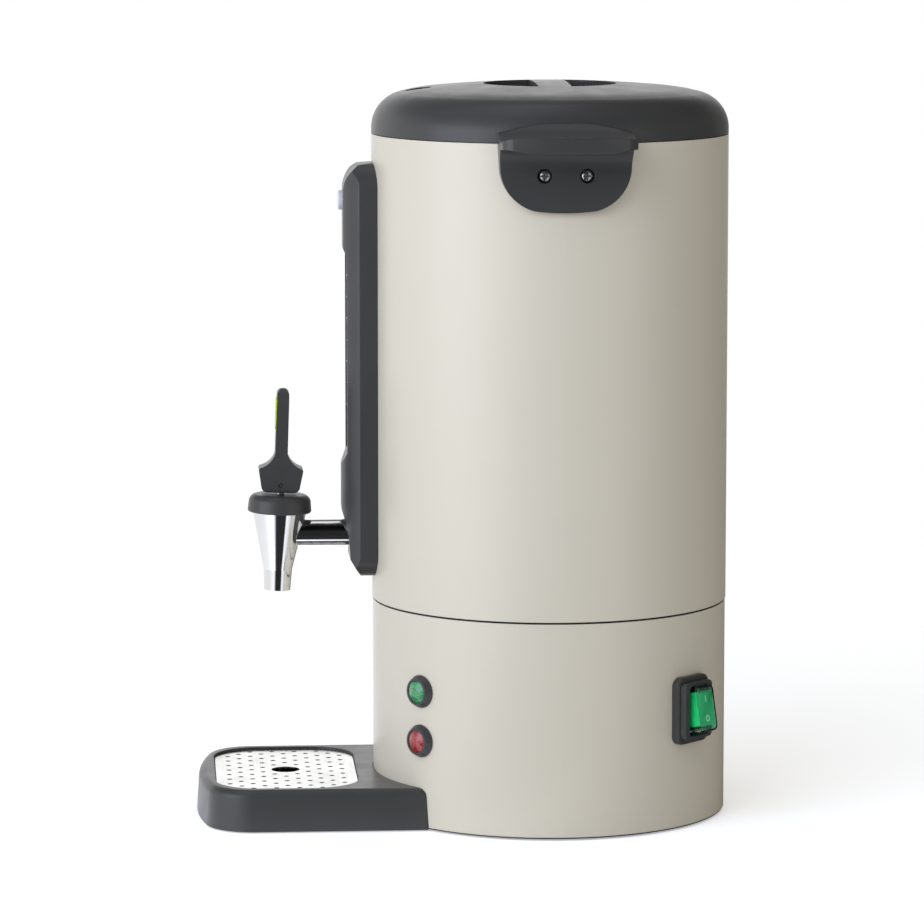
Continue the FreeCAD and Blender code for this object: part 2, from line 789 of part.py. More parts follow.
# Lid
def dome(offset):
    """The solid under the lid's domed outline, offset inwards, down to the lid's lower edge."""
    first = math.radians(LID_SHOULDER_TURN)
    second = math.radians(LID_SLOPE_TURN)
    start_height = LID_LOW + LID_SKIRT
    crown = (BODY_RADIUS - LID_SHOULDER * (1 - math.cos(first))
             - LID_SLOPE * (math.cos(first) - math.cos(second))) / math.cos(second)
    spans = ((LID_SHOULDER, 0.0, first), (LID_SLOPE, first, second), (crown, second, math.pi / 2))
    centre_reach = BODY_RADIUS - LID_SHOULDER
    centre_height = start_height
    steps = []
    before = LID_SHOULDER
    for radius, low, high in spans:
        centre_reach += (before - radius) * math.cos(low)
        centre_height += (before - radius) * math.sin(low)
        middle = (low + high) / 2
        arm = radius - offset
        steps.append(((centre_reach + arm * math.cos(middle), centre_height + arm * math.sin(middle)),
                      (centre_reach + arm * math.cos(high), centre_height + arm * math.sin(high))))
        before = radius
    last_middle, last_end = steps[-1]
    steps[-1] = (last_middle, (0.0, last_end[1]))
    edge = BODY_RADIUS - offset
    return revolved((0.0, LID_LOW), (edge, LID_LOW), (edge, start_height), *steps)


def vent_hole(lip, low, high):
    """Oval steam hole through the front of the lid, narrowed by lip."""
    half_width = VENT_WIDTH / 2 - lip
    half_length = VENT_LENGTH / 2 - lip
    return rounded_block_z((-half_width, half_width), (-VENT_REACH - half_length, -VENT_REACH + half_length),
                           (low, high), half_width - FIT)


def lid_shell():
    outside = dome(0.0)
    shell = outside.cut(dome(LID_WALL))
    top = outside.BoundBox.ZMax
    pocket_floor = top - GRIP_DEPTH
    below = pocket_floor - LID_WALL
    well = disc(GRIP_RADIUS + LID_WALL, below, top + PAST).common(outside)
    boss = rod_z(LID_BOSS_RADIUS, LID_SCREW_REACH, 0, (LINER_HIGH, top)).common(outside)
    shell = joined(shell, well, *around(LID_SCREW_ANGLES, boss))
    half_bar = GRIP_BAR / 2
    bar = block((-FAR, FAR), (-half_bar, half_bar), (0, FAR))
    shell = shell.cut(disc(GRIP_RADIUS, pocket_floor, top + PAST).cut(bar))
    inside_bar = half_bar - LID_WALL
    bar_end = math.sqrt(GRIP_RADIUS ** 2 - inside_bar ** 2) - LID_WALL
    hollow = block((-bar_end, bar_end), (-inside_bar, inside_bar), (below - PAST, top - GRIP_BAR_SKIN))
    shell = shell.cut(hollow).cut(vent_hole(0.0, LID_LOW, top + PAST))
    thread = rod_z(LID_SCREW_RADIUS, LID_SCREW_REACH, 0, (LINER_LOW, LINER_HIGH + LID_SCREW_BITE + PAST))
    return shell.cut(around(LID_SCREW_ANGLES, thread))


def lid_liner():
    """Inner plate and plug of the lid, with the lugs of the twist lock."""
    plate = disc(BODY_RADIUS - LID_WALL - LINER_GAP, LINER_LOW, LINER_HIGH)
    plug = ring(PLUG_RADIUS, PLUG_RADIUS - PLUG_WALL, PLUG_LOW, LINER_LOW + PAST)
    lugs = [sector(PLUG_RADIUS + LUG_REACH, PLUG_RADIUS - PAST, PLUG_LOW, PLUG_LOW + LUG_HEIGHT,
                   tab + LOCK_TURN, LUG_SPAN) for tab in TAB_ANGLES]
    liner = joined(plate, plug, *lugs).cut(vent_hole(LINER_VENT_LIP, PLUG_LOW, LINER_HIGH + PAST))
    hole = rod_z(LID_SCREW_RADIUS + LOOSE, LID_SCREW_REACH, 0, (PLUG_LOW, LINER_HIGH + PAST))
    return liner.cut(around(LID_SCREW_ANGLES, hole))


def lid_gasket():
    """Silicone ring on the tank's rim, round the lid's plug, which turns inside it."""
    outer = BODY_RADIUS - LID_WALL - LINER_GAP - LOOSE
    return ring(outer, PLUG_RADIUS + LOOSE, BODY_TOP, LINER_LOW)


def cross_recess(size, depth):
    """A cross recess on the X axis, cut inwards from x = 0."""
    half = size / 2
    arm = half / CROSS_ARM
    return joined(block((-depth, PAST), (-half, half), (-arm, arm)),
                  block((-depth, PAST), (-arm, arm), (-half, half)))


def pan_screw(radius, seat, end, head_radius, head_height):
    """A cross-head screw along X: its head sits on seat, and its shank runs inwards to end."""
    shank = rod_x(radius, (end, seat), 0, 0)
    shoulder_radius, shoulder_height = SCREW_HEAD_SHOULDER
    head = revolved((0.0, 0.0), (head_radius, 0.0), (head_radius, head_height * SCREW_HEAD_SIDE),
                    ((head_radius * shoulder_radius, head_height * shoulder_height), (0.0, head_height)))
    recess = cross_recess(head_radius * CROSS_LENGTH, head_height * CROSS_DEPTH)
    screw = joined(shank, at(outward(head), seat, 0, 0))
    return screw.cut(at(recess, seat + head_height, 0, 0))


def lid_screws():
    """Four screws that hold the liner up against the bosses of the lid."""
    length = LINER_THICK + LID_SCREW_BITE
    screw = pan_screw(LID_SCREW_RADIUS, 0.0, -length, LID_SCREW_HEAD_RADIUS, LID_SCREW_HEAD)
    return group(around(LID_SCREW_ANGLES, at(outward(screw), LID_SCREW_REACH, 0, LINER_LOW)))


# Carrying handles
def handle_section():
    """The handle's outline in X and Z: a plate on the tank under a dished ledge."""
    back = BODY_RADIUS - HANDLE_ROOT
    low = HANDLE_BOTTOM - PAST
    plate = BODY_RADIUS + HANDLE_PLATE
    dish = HANDLE_LIP_TOP - HANDLE_DISH
    under = dish - HANDLE_LEDGE
    lip = HANDLE_FRONT - HANDLE_LIP_STEP
    lip_drop = under - HANDLE_LIP_LOW
    cove_bulge = HANDLE_COVE * ROUNDING
    return outline(on_xz, (back, low), (plate - HANDLE_DRAFT, low), (plate, HANDLE_LIP_LOW - HANDLE_COVE),
                   ((plate + cove_bulge, under - HANDLE_DRAFT - cove_bulge),
                    (plate + HANDLE_COVE, under - HANDLE_DRAFT)), (lip - HANDLE_LIP_ROOT, under),
                   ((lip - HANDLE_LIP_ROOT * ROUNDING, under - lip_drop * ROUNDING), (lip, HANDLE_LIP_LOW)),
                   (HANDLE_FRONT, HANDLE_LIP_LOW), (HANDLE_FRONT, HANDLE_LIP_TOP),
                   (lip + HANDLE_LIP_EDGE, HANDLE_LIP_TOP),
                   ((BODY_RADIUS + HANDLE_DISH_PROUD, dish), (BODY_RADIUS, HANDLE_ARCH_TOP)),
                   (back, HANDLE_ARCH_TOP))


def handle_plan():
    """The handle seen from above, in Y and X: straight sides and a bowed front."""
    shoulder = HANDLE_HALF - HANDLE_CORNER
    shoulder_x = HANDLE_FRONT - HANDLE_BOW + math.sqrt(HANDLE_BOW ** 2 - shoulder ** 2)
    turn = (HANDLE_HALF - HANDLE_CORNER / 3, shoulder_x - HANDLE_CORNER / 2)
    start = (HANDLE_HALF, BODY_RADIUS - HANDLE_ROOT)
    side = ((HANDLE_HALF, BODY_RADIUS + HANDLE_SIDE_PROUD), (turn, (shoulder, shoulder_x)))
    bow = ((0.0, HANDLE_FRONT), (-shoulder, shoulder_x))
    return outline(lambda y, x: on_xy(x, y), start, *side, bow, *backwards(start, *side))


def handle_face():
    """The handle seen from the side of the urn: arched above, U-shaped below."""
    arch_drop = HANDLE_ARCH_RADIUS - math.sqrt(HANDLE_ARCH_RADIUS ** 2 - HANDLE_HALF ** 2)
    start = (HANDLE_HALF, HANDLE_ARCH_TOP - arch_drop)
    waist = (HANDLE_HALF - HANDLE_WAIST, HANDLE_SCREW_HEIGHT + HANDLE_WAIST_RISE)
    bend = (HANDLE_HALF - HANDLE_BEND, HANDLE_BOTTOM + HANDLE_BEND_RISE)
    knee = (HANDLE_HALF - HANDLE_KNEE, HANDLE_BOTTOM + HANDLE_KNEE_RISE)
    side = (waist, (bend, knee))
    bottom = ((0.0, HANDLE_BOTTOM), flipped(knee))
    arch = ((0.0, HANDLE_ARCH_TOP), start)
    return outline(on_yz, start, *side, bottom, *backwards(start, *side), arch)


def handle_right():
    section = along_y(handle_section(), -HANDLE_HALF - PAST, HANDLE_HALF + PAST)
    plan = along_z(handle_plan(), HANDLE_BOTTOM - PAST, HANDLE_ARCH_TOP + PAST)
    face = along_x(handle_face(), BODY_RADIUS - HANDLE_ROOT, HANDLE_FRONT + PAST)
    handle = section.common(plan).common(face)
    edge = edges_where(handle, lambda b: b.XMin > BODY_RADIUS + HANDLE_DISH_PROUD
                       and b.ZMin > HANDLE_LIP_TOP - TOUCH)
    handle = handle.makeFillet(HANDLE_TOP_ROUND, edge)
    lower = edges_where(handle, lambda b: b.YLength > HANDLE_CORNER + PAST and b.XMax > HANDLE_FRONT - TOUCH
                        and b.XMin > BODY_RADIUS and abs(b.ZMax - HANDLE_LIP_LOW) < TOUCH)
    handle = handle.makeFillet(HANDLE_LOW_ROUND, lower)
    handle = handle.cut(disc(BODY_RADIUS, 0, BODY_TOP))
    handle = handle.cut(disc(BODY_RADIUS + HANDLE_LID_GAP, BODY_TOP, FAR))
    seat = BODY_RADIUS + HANDLE_PLATE - SCREW_SINK
    bore = joined(rod_x(SCREW_RADIUS + FIT, (0, FAR), 0, HANDLE_SCREW_HEIGHT),
                  rod_x(SCREW_SINK_RADIUS, (seat, FAR), 0, HANDLE_SCREW_HEIGHT))
    return handle.cut(around(handle_screw_places()[:2], bore))


def handle_screws():
    seat = BODY_RADIUS + HANDLE_PLATE - SCREW_SINK
    screw = pan_screw(SCREW_RADIUS, seat, TANK_INNER - SCREW_END, SCREW_HEAD_RADIUS, SCREW_HEAD)
    return group(around(handle_screw_places(), at(screw, 0, 0, HANDLE_SCREW_HEIGHT)))


def handle_nut_plates():
    """A curved plate inside the tank wall behind each handle, tapped for its two screws."""
    low = HANDLE_SCREW_HEIGHT - NUT_PLATE_HEIGHT / 2
    plate = sector(TANK_INNER, TANK_INNER - NUT_PLATE_THICK, low, low + NUT_PLATE_HEIGHT, 0, NUT_PLATE_SPAN)
    thread = rod_x(SCREW_RADIUS, (0, FAR), 0, HANDLE_SCREW_HEIGHT)
    plate = plate.cut(around(handle_screw_places()[:2], thread))
    return group(around((0.0, 180.0), plate))


# Level gauge
def gauge_side():
    """The gauge housing seen from its side, in Y and Z: it swells in front of the tap's pipe."""
    back = -(BODY_RADIUS - GAUGE_ROOT)
    chin = GAUGE_LOW + GAUGE_CHIN
    bulge_sink = GAUGE_BULGE_SINK - GAUGE_BULGE_TURN
    bulge = (-GAUGE_RIDGE + (GAUGE_BULGE_SINK + bulge_sink) / 2 + GAUGE_SWELL,
             TAP_HEIGHT + (GAUGE_BULGE_HIGH - GAUGE_BULGE_LOW) / 2)
    ramp = (-GAUGE_RIDGE + GAUGE_RAMP_SINK / 2 - GAUGE_SWELL,
            TAP_HEIGHT + (GAUGE_RAMP_HIGH + GAUGE_RIDGE_LOW) / 2)
    brow = -GAUGE_RIDGE + GAUGE_BROW_SINK
    return outline(on_yz, (back, chin), (-GAUGE_CREASE + GAUGE_CHIN, chin),
                   (-GAUGE_RIDGE + GAUGE_BULGE_SINK, TAP_HEIGHT - GAUGE_BULGE_LOW),
                   (bulge, (-GAUGE_RIDGE + bulge_sink, TAP_HEIGHT + GAUGE_BULGE_HIGH)),
                   (-GAUGE_RIDGE + GAUGE_RAMP_SINK, TAP_HEIGHT + GAUGE_RAMP_HIGH),
                   (ramp, (-GAUGE_RIDGE, TAP_HEIGHT + GAUGE_RIDGE_LOW)),
                   (-GAUGE_RIDGE, WINDOW_LOW), (brow, WINDOW_HIGH), (brow, GAUGE_HIGH - GAUGE_BROW),
                   ((-GAUGE_RIDGE + GAUGE_BROW_TURN_SINK, GAUGE_HIGH - GAUGE_BROW_TURN),
                    (-GAUGE_CREASE, GAUGE_HIGH - GAUGE_BROW_TOP)),
                   (-GAUGE_CREASE + GAUGE_TOP_DEPTH, GAUGE_HIGH), (back, GAUGE_HIGH))


def gauge_plan(half, back, crease, ridge):
    """The gauge housing seen from above: sides that turn into a curved front."""
    start = (half, back)
    side = ((half - GAUGE_SIDE_DRAFT, -crease),)
    front = ((0.0, -ridge), (-half + GAUGE_SIDE_DRAFT, -crease))
    return outline(on_xy, start, *side, front, *backwards(start, *side))


def gauge_block():
    """The gauge housing as a full block: three outlines that meet."""
    back = -(BODY_RADIUS - GAUGE_ROOT)
    front = rounded_face(on_xz, (-GAUGE_HALF, GAUGE_HALF), (GAUGE_LOW, GAUGE_HIGH), GAUGE_CORNER)
    front = along_y(front, -GAUGE_RIDGE - PAST, back)
    side = along_x(gauge_side(), -GAUGE_HALF - PAST, GAUGE_HALF + PAST)
    plan = gauge_plan(GAUGE_HALF, back, GAUGE_CREASE, GAUGE_RIDGE)
    return front.common(side).common(along_z(plan, GAUGE_LOW - PAST, GAUGE_HIGH + PAST))


def gauge_cavity():
    half = GAUGE_HALF - GAUGE_WALL
    inner = rounded_face(on_xz, (-half, half), (GAUGE_LOW + GAUGE_WALL, GAUGE_HIGH - GAUGE_WALL),
                         GAUGE_CORNER - GAUGE_WALL)
    inner = along_y(inner, -GAUGE_CAVITY_FRONT, 0)
    end = -GAUGE_CREASE + GAUGE_CAVITY_DEPTH
    side = outline(on_yz, (0.0, GAUGE_LOW), (end, GAUGE_LOW),
                   (-GAUGE_CAVITY_FRONT, GAUGE_LOW + GAUGE_CAVITY_CHIN),
                   (-GAUGE_CAVITY_FRONT, GAUGE_HIGH - GAUGE_CAVITY_BROW), (end, GAUGE_HIGH),
                   (0.0, GAUGE_HIGH))
    side = along_x(side, -GAUGE_HALF, GAUGE_HALF)
    plan = gauge_plan(half, 0.0, GAUGE_CREASE - GAUGE_WALL, GAUGE_RIDGE - GAUGE_WALL)
    return inner.common(side).common(along_z(plan, GAUGE_LOW, GAUGE_HIGH))


def gauge_window():
    """What the window takes away: a sloped scoop, and the slot in front of the sight tube."""
    mouth = -GAUGE_RIDGE - PAST
    low = WINDOW_LOW + WINDOW_RAMP
    high = WINDOW_HIGH - WINDOW_RAMP
    scoop = outline(on_yz, (-WINDOW_FLOOR, low), (mouth, low - WINDOW_SLOPE), (mouth, high + WINDOW_SLOPE),
                    (-WINDOW_FLOOR, high))
    slot_heights = (WINDOW_LOW + SLOT_MARGIN, WINDOW_HIGH - SLOT_MARGIN)
    slot = rounded_face(on_xz, (-SLOT_HALF, SLOT_HALF), slot_heights, SLOT_HALF - FIT)
    return [along_x(scoop, -WINDOW_HALF, WINDOW_HALF), along_y(slot, mouth, -GAUGE_CAVITY_FRONT + PAST)]


def gauge_clip():
    """Bridge inside the housing that holds the upper end of the sight tube, rooted in its walls."""
    low = TUBE_HIGH - BUSH_HEIGHT
    high = TUBE_HIGH + CLIP_OVER_TUBE
    back = -BODY_RADIUS + CLIP_DEPTH
    plan = gauge_plan(GAUGE_HALF - PAST, back, GAUGE_CREASE - PAST, GAUGE_RIDGE - PAST)
    front = block((-GAUGE_HALF, GAUGE_HALF), (-GAUGE_CAVITY_FRONT - PAST, back), (low, high))
    clip = along_z(plan, low, high).common(front)
    return clip.cut(rod_z(SOCKET_RADIUS, 0, -TUBE_REACH, (low - PAST, TUBE_HIGH)))


def gauge_housing():
    shell = gauge_block().cut(gauge_cavity()).cut(gauge_window())
    boss = rod_y(GAUGE_BOSS_RADIUS, 0, (-GAUGE_CAVITY_FRONT - PAST, 0), CAP_HEIGHT)
    shell = joined(shell, boss, gauge_clip())
    shell = shell.cut(disc(BODY_RADIUS, 0, BODY_TOP))
    shell = shell.cut(rod_y(PIPE_RADIUS + LOOSE, 0, (-FAR, -GAUGE_CAVITY_FRONT + TOUCH), TAP_HEIGHT))
    shell = shell.cut(rod_y(SCREW_RADIUS + FIT, 0, (-FAR, 0), CAP_HEIGHT))
    shell = shell.cut(rod_y(CAP_RADIUS + FIT, 0, (-FAR, -CAP_SEAT), CAP_HEIGHT))
    return shell.cut(rod_y(SCREW_HEAD_RADIUS + LOOSE, 0, (-FAR, -GAUGE_SCREW_SEAT), CAP_HEIGHT))


def on_front(shape, height):
    """Turn a shape made along +X so that it lies along -Y, at a height."""
    return at(about_z(shape, -90), 0, 0, height)


def gauge_screw():
    """The screw under the cap, which holds the housing's top on the tank."""
    end = TANK_INNER - GAUGE_SCREW_END
    screw = pan_screw(SCREW_RADIUS, GAUGE_SCREW_SEAT, end, SCREW_HEAD_RADIUS, SCREW_HEAD)
    return on_front(screw, CAP_HEIGHT)


def gauge_nut():
    nut = outward(hexagon(GAUGE_NUT_ACROSS, TANK_INNER - GAUGE_NUT_HEIGHT, TANK_INNER))
    nut = nut.common(disc(TANK_INNER, -FAR, FAR)).cut(rod_x(SCREW_RADIUS, (0, FAR), 0, 0))
    return on_front(nut, CAP_HEIGHT)


def gauge_cap():
    cap = rod_y(CAP_RADIUS, 0, (-CAP_FRONT, -CAP_SEAT), CAP_HEIGHT)
    return cap.makeFillet(CAP_EDGE, edges_where(cap, lambda b: b.YMax < -CAP_FRONT + TOUCH))


def sight_tube():
    tube = rod_z(TUBE_RADIUS, 0, -TUBE_REACH, (TUBE_LOW, TUBE_HIGH))
    return tube.cut(rod_z(TUBE_BORE, 0, -TUBE_REACH, (TUBE_LOW - PAST, TUBE_HIGH + PAST)))


def tube_bush(low):
    """Silicone sleeve round one end of the sight tube."""
    outer = rod_z(SOCKET_RADIUS, 0, -TUBE_REACH, (low, low + BUSH_HEIGHT))
    return outer.cut(rod_z(TUBE_RADIUS, 0, -TUBE_REACH, (low - PAST, low + BUSH_HEIGHT + PAST)))


def tube_bushes():
    return group([tube_bush(TUBE_LOW), tube_bush(TUBE_HIGH - BUSH_HEIGHT)])


def gauge_tee():
    """Block on the tap's shank that feeds the sight tube."""
    hub = rod_y(TEE_RADIUS, 0, (-GAUGE_CAVITY_FRONT, -TEE_BACK), TAP_HEIGHT)
    column = rod_z(SOCKET_RADIUS + SOCKET_WALL, 0, -TUBE_REACH, (TAP_HEIGHT, TUBE_LOW + BUSH_HEIGHT))
    tee = joined(hub, column).cut(block((-FAR, FAR), (-TEE_BACK, 0), (0, FAR)))
    tee = tee.cut(rod_y(SHANK_RADIUS + FIT, 0, (-FAR, 0), TAP_HEIGHT))
    tee = tee.cut(rod_z(SOCKET_RADIUS, 0, -TUBE_REACH, (TUBE_LOW, FAR)))
    return tee.cut(rod_z(TEE_BORE, 0, -TUBE_REACH, (TAP_HEIGHT, FAR)))


def gauge_scale():
    """Thin plate on the tank behind the sight tube, which carries the litre marks."""
    span = 2 * math.degrees(math.asin(SCALE_HALF / BODY_RADIUS))
    low = WINDOW_LOW - SCALE_BELOW_WINDOW
    high = TUBE_HIGH - BUSH_HEIGHT - PAST
    return sector(BODY_RADIUS + SCALE_THICK, BODY_RADIUS, low, high, -90, span)


# Tap
def on_tap(shape):
    """Set a shape made upright on the origin at the tap: it leans towards the urn at the top."""
    copy = shape.copy()
    copy.rotate(vector(0, 0, 0), vector(1, 0, 0), -TAP_LEAN)
    copy.translate(vector(0, -TAP_REACH, TAP_HEIGHT))
    return copy


def tap_body():
    cone = revolved((0.0, -SPOUT_DROP), (SPOUT_RADIUS, -SPOUT_DROP), (CONE_LOW_RADIUS, -CONE_LOW),
                    (CONE_TOP_RADIUS, CONE_TOP), (0.0, CONE_TOP))
    chamber = revolved((0.0, -SPOUT_DROP - PAST), (SPOUT_BORE, -SPOUT_DROP - PAST), (SPOUT_BORE, -SEAT_LOW),
                       (CHAMBER_RADIUS, -CHAMBER_LOW), (CHAMBER_RADIUS, CONE_TOP + PAST),
                       (0.0, CONE_TOP + PAST))
    pipe = rod_y(PIPE_RADIUS, 0, (-TAP_REACH, -GAUGE_CAVITY_FRONT), TAP_HEIGHT)
    shank = rod_y(SHANK_RADIUS, 0, (-GAUGE_CAVITY_FRONT - PAST, -SHANK_END), TAP_HEIGHT)
    body = joined(on_tap(cone), pipe, shank)
    body = body.cut(rod_y(SHANK_BORE, 0, (-TAP_REACH, -SHANK_END + PAST), TAP_HEIGHT))
    port = rod_z(SHANK_PORT, 0, -TUBE_REACH, (TAP_HEIGHT, TAP_HEIGHT + SHANK_RADIUS + PAST))
    return body.cut(port).cut(on_tap(chamber))


def shank_washers():
    """Silicone washers either side of the tank wall, shaped to its curve."""
    hole = rod_y(SHANK_RADIUS, 0, (-FAR, 0), TAP_HEIGHT)
    outside = rod_y(TEE_RADIUS, 0, (-TEE_BACK, -TANK_INNER), TAP_HEIGHT)
    outside = outside.cut([disc(BODY_RADIUS, 0, BODY_TOP), hole])
    inside = rod_y(SHANK_NUT_ACROSS / 2 + WASHER_BORDER, 0, (-TANK_INNER, -TANK_INNER + WASHER_INSIDE),
                   TAP_HEIGHT)
    inside = inside.common(disc(TANK_INNER, 0, BODY_TOP)).cut(hole)
    return group([outside, inside])


def shank_nut():
    nut = hexagon(SHANK_NUT_ACROSS, 0, SHANK_NUT_HEIGHT).cut(disc(SHANK_RADIUS, -PAST, FAR))
    return at(about_z(outward(nut), 90), 0, -TANK_INNER + WASHER_INSIDE, TAP_HEIGHT)


def seat_cup():
    """Silicone plug that closes the tap's seat, cone on cone."""
    slope = (CHAMBER_RADIUS - SPOUT_BORE) / (SEAT_LOW - CHAMBER_LOW)
    low = -SEAT_LOW + CUP_RISE
    knee = low + CUP_CONE
    low_radius = SPOUT_BORE + slope * CUP_RISE - SEAT_GAP
    knee_radius = low_radius + slope * CUP_CONE
    cup = revolved((0.0, low), (low_radius, low), (knee_radius, knee), (knee_radius, -CUP_TOP),
                   (0.0, -CUP_TOP))
    return on_tap(cup.cut(disc(STEM_RADIUS, low + STEM_SEAT, FAR)))


def valve_stem():
    rod = disc(STEM_RADIUS, -SEAT_LOW + CUP_RISE + STEM_SEAT, PIN_RISE)
    eye = rod_x(EYE_RADIUS, (-EYE_HALF, EYE_HALF), 0, PIN_RISE)
    return on_tap(joined(rod, eye).cut(rod_x(PIN_RADIUS + RUNNING, (-FAR, FAR), 0, PIN_RISE)))


def coil_point(turns, pitch):
    """A point of the spring's wire line and the line's direction there."""
    angle = 2 * math.pi * turns
    slope = pitch / (2 * math.pi)
    point = vector(SPRING_COIL * math.cos(angle), SPRING_COIL * math.sin(angle), pitch * turns)
    direction = vector(-SPRING_COIL * math.sin(angle), SPRING_COIL * math.cos(angle), slope)
    return point, direction.normalize()


def coil_line(turns, pitch):
    """A helix from its origin upwards, as two tangent arcs for each quarter turn."""
    edges = []
    for i in range(int(4 * turns)):
        start, leaving = coil_point(i / 4, pitch)
        end, arriving = coil_point((i + 1) / 4, pitch)
        chord = end - start
        along = chord.dot(leaving + arriving)
        bend = 2 * (1 - leaving.dot(arriving))
        trim = (math.sqrt(along ** 2 + bend * chord.dot(chord)) - along) / bend
        first = start + leaving * trim
        second = end - arriving * trim
        on = (second - first).normalize()
        edges.append(corner_arc(first, leaving * -1, on, trim))
        edges.append(corner_arc(second, on * -1, arriving, trim))
    return Part.Wire(edges)


def tap_spring():
    """Helical spring between the seat cup and the bonnet."""
    low = -CUP_TOP + SPRING_WIRE
    high = CONE_TOP - BONNET_PLUG - SPRING_WIRE
    pitch = (high - low) / SPRING_TURNS
    path = coil_line(SPRING_TURNS, pitch)
    start, direction = coil_point(0, pitch)
    wire = Part.Wire([Part.Circle(start, direction, SPRING_WIRE).toShape()])
    return on_tap(at(path.makePipeShell([wire], True, False), 0, 0, low))


def tap_bonnet():
    """Black cap that screws on the cone: its plug goes into the chamber, over the spring."""
    hole = STEM_RADIUS + RUNNING
    plug = CHAMBER_RADIUS - FIT
    plug_low = CONE_TOP - BONNET_PLUG
    shoulder = BONNET_RADIUS - BONNET_TAPER
    bulge = BONNET_ROUND * ROUNDING
    cap = revolved((hole, plug_low), (plug, plug_low), (plug, CONE_TOP), (shoulder, CONE_TOP),
                   (BONNET_RADIUS, CONE_TOP + BONNET_EDGE), (shoulder, BONNET_TOP - BONNET_ROUND),
                   ((shoulder - bulge, BONNET_TOP - bulge), (shoulder - BONNET_ROUND, BONNET_TOP)),
                   (hole, BONNET_TOP))
    return on_tap(cap)


def lever_side():
    """The lever seen from the side, in Y and Z: a boss that narrows to a flat paddle."""
    high = LEVER_LOW + BOSS_HEIGHT
    tip = LEVER_LOW + LEVER_HEIGHT
    half = LEVER_THICK / 2
    foot = BOSS_FOOT * ROUNDING
    start = (BOSS_LOW_HALF - BOSS_FOOT, LEVER_LOW)
    up = (((BOSS_LOW_HALF - foot, LEVER_LOW + foot), (BOSS_LOW_HALF, LEVER_LOW + BOSS_FOOT)),
          (BOSS_HIGH_HALF, high - BOSS_BEVEL), (BOSS_HIGH_HALF - BOSS_BEVEL_WIDTH, high),
          ((half + LEVER_ROOT_TURN[0], high + LEVER_ROOT_TURN[1]), (half + LEVER_DRAFT, high + LEVER_ROOT)),
          (half - LEVER_DRAFT, tip - half))
    over = ((0.0, tip), (-half + LEVER_DRAFT, tip - half))
    return outline(on_yz, start, *up, over, *backwards(start, *up))


def lever_front():
    """The lever seen from the front, in X and Z: a neck that widens to a round tip."""
    high = LEVER_LOW + BOSS_HEIGHT
    tip = LEVER_LOW + LEVER_HEIGHT
    wide = BOSS_WIDTH / 2
    foot = BOSS_SIDE_ROUND * ROUNDING
    paddle = (PADDLE_HALF, tip - PADDLE_TIP)
    start = (wide - BOSS_SIDE_ROUND, LEVER_LOW)
    up = (((wide - foot, LEVER_LOW + foot), (wide, LEVER_LOW + BOSS_SIDE_ROUND)),
          (wide, high - NECK_SHOULDER),
          ((NECK_HALF + NECK_TURN[0], high + NECK_TURN[1]), (NECK_HALF, high + NECK_RISE)),
          ((NECK_HALF + WAIST_SPREAD, high + WAIST_RISE), paddle))
    over = ((0.0, tip), flipped(paddle))
    return outline(on_xz, start, *up, over, *backwards(start, *up))


def insert_shape(front, back):
    face = rounded_face(on_xz, (-INSERT_HALF, INSERT_HALF), (INSERT_LOW, INSERT_HIGH), INSERT_HALF - FIT)
    return along_y(face, front, back)


def tap_lever():
    side = along_x(lever_side(), -BOSS_WIDTH / 2, BOSS_WIDTH / 2)
    lever = side.common(along_y(lever_front(), -BOSS_WIDTH, BOSS_WIDTH))
    swing = EYE_RADIUS + EYE_SWING
    clear = EYE_HALF + LOOSE
    slot_top = PIN_RISE + EYE_RADIUS + EYE_GAP
    lever = lever.cut(block((-clear, clear), (-swing, swing), (LEVER_LOW - PAST, slot_top)))
    lever = lever.cut(rod_x(PIN_RADIUS, (-FAR, FAR), 0, PIN_RISE))
    return on_tap(lever.cut(insert_shape(-LEVER_THICK, -LEVER_THICK / 2 + INSERT_DEPTH)))


def lever_insert():
    half = LEVER_THICK / 2
    return on_tap(insert_shape(-half - INSERT_PROUD, -half + INSERT_DEPTH))


def lever_pin():
    end = BOSS_WIDTH / 2 - PIN_SINK
    return on_tap(rod_x(PIN_RADIUS, (-end, end), 0, PIN_RISE))


# Drip tray
def tray_outline(inset, height):
    """Straight sides, round corners and a bowed front, drawn in by inset, as far as the base."""
    corner_x = TRAY_HALF - TRAY_CORNER
    arm = TRAY_BOW - TRAY_CORNER
    corner_y = -TRAY_FRONT + TRAY_BOW - math.sqrt(arm ** 2 - corner_x ** 2)
    turn = math.asin(corner_x / arm)
    half_turn = math.pi / 4 + turn / 2
    radius = TRAY_CORNER - inset
    middle = (corner_x + radius * math.sin(half_turn), corner_y - radius * math.cos(half_turn))
    end = (corner_x + radius * math.sin(turn), corner_y - radius * math.cos(turn))
    start = (TRAY_HALF - inset, -BODY_RADIUS / 2)
    side = ((TRAY_HALF - inset, corner_y), (middle, end))
    bow = ((0.0, -TRAY_FRONT + inset), flipped(end))
    return at(outline(on_xy, start, *side, bow, *backwards(start, *side)).OuterWire, 0, 0, height)


def tray_block(inset, low, high):
    """The tray's outside drawn in by inset, with sides that lean in by the draft up to its top."""
    lean = TRAY_DRAFT / (TRAY_TOP - TRAY_BOTTOM)
    wires = [tray_outline(inset + (height - TRAY_BOTTOM) * lean, height) for height in (low, high)]
    return Part.makeLoft(wires, True, True)


def grid_shape(grow, corner, low, high):
    """A block over the grid's outline grown by grow, with round corners."""
    half = GRID_LENGTH / 2 + grow
    return rounded_block_z((-half, half), (-GRID_FRONT - grow, -GRID_BACK + grow), (low, high), corner)


def grid_middle():
    return -(GRID_FRONT + GRID_BACK) / 2


def pads():
    """The four round places under the tray, filled as high as its pads go."""
    places = [(x, grid_middle() + y) for x in (-PAD_SIDE, PAD_SIDE) for y in (-PAD_SPREAD, PAD_SPREAD)]
    return [rod_z(PAD_RADIUS, x, y, (0, TRAY_BOTTOM + PAD_SINK)) for x, y in places]


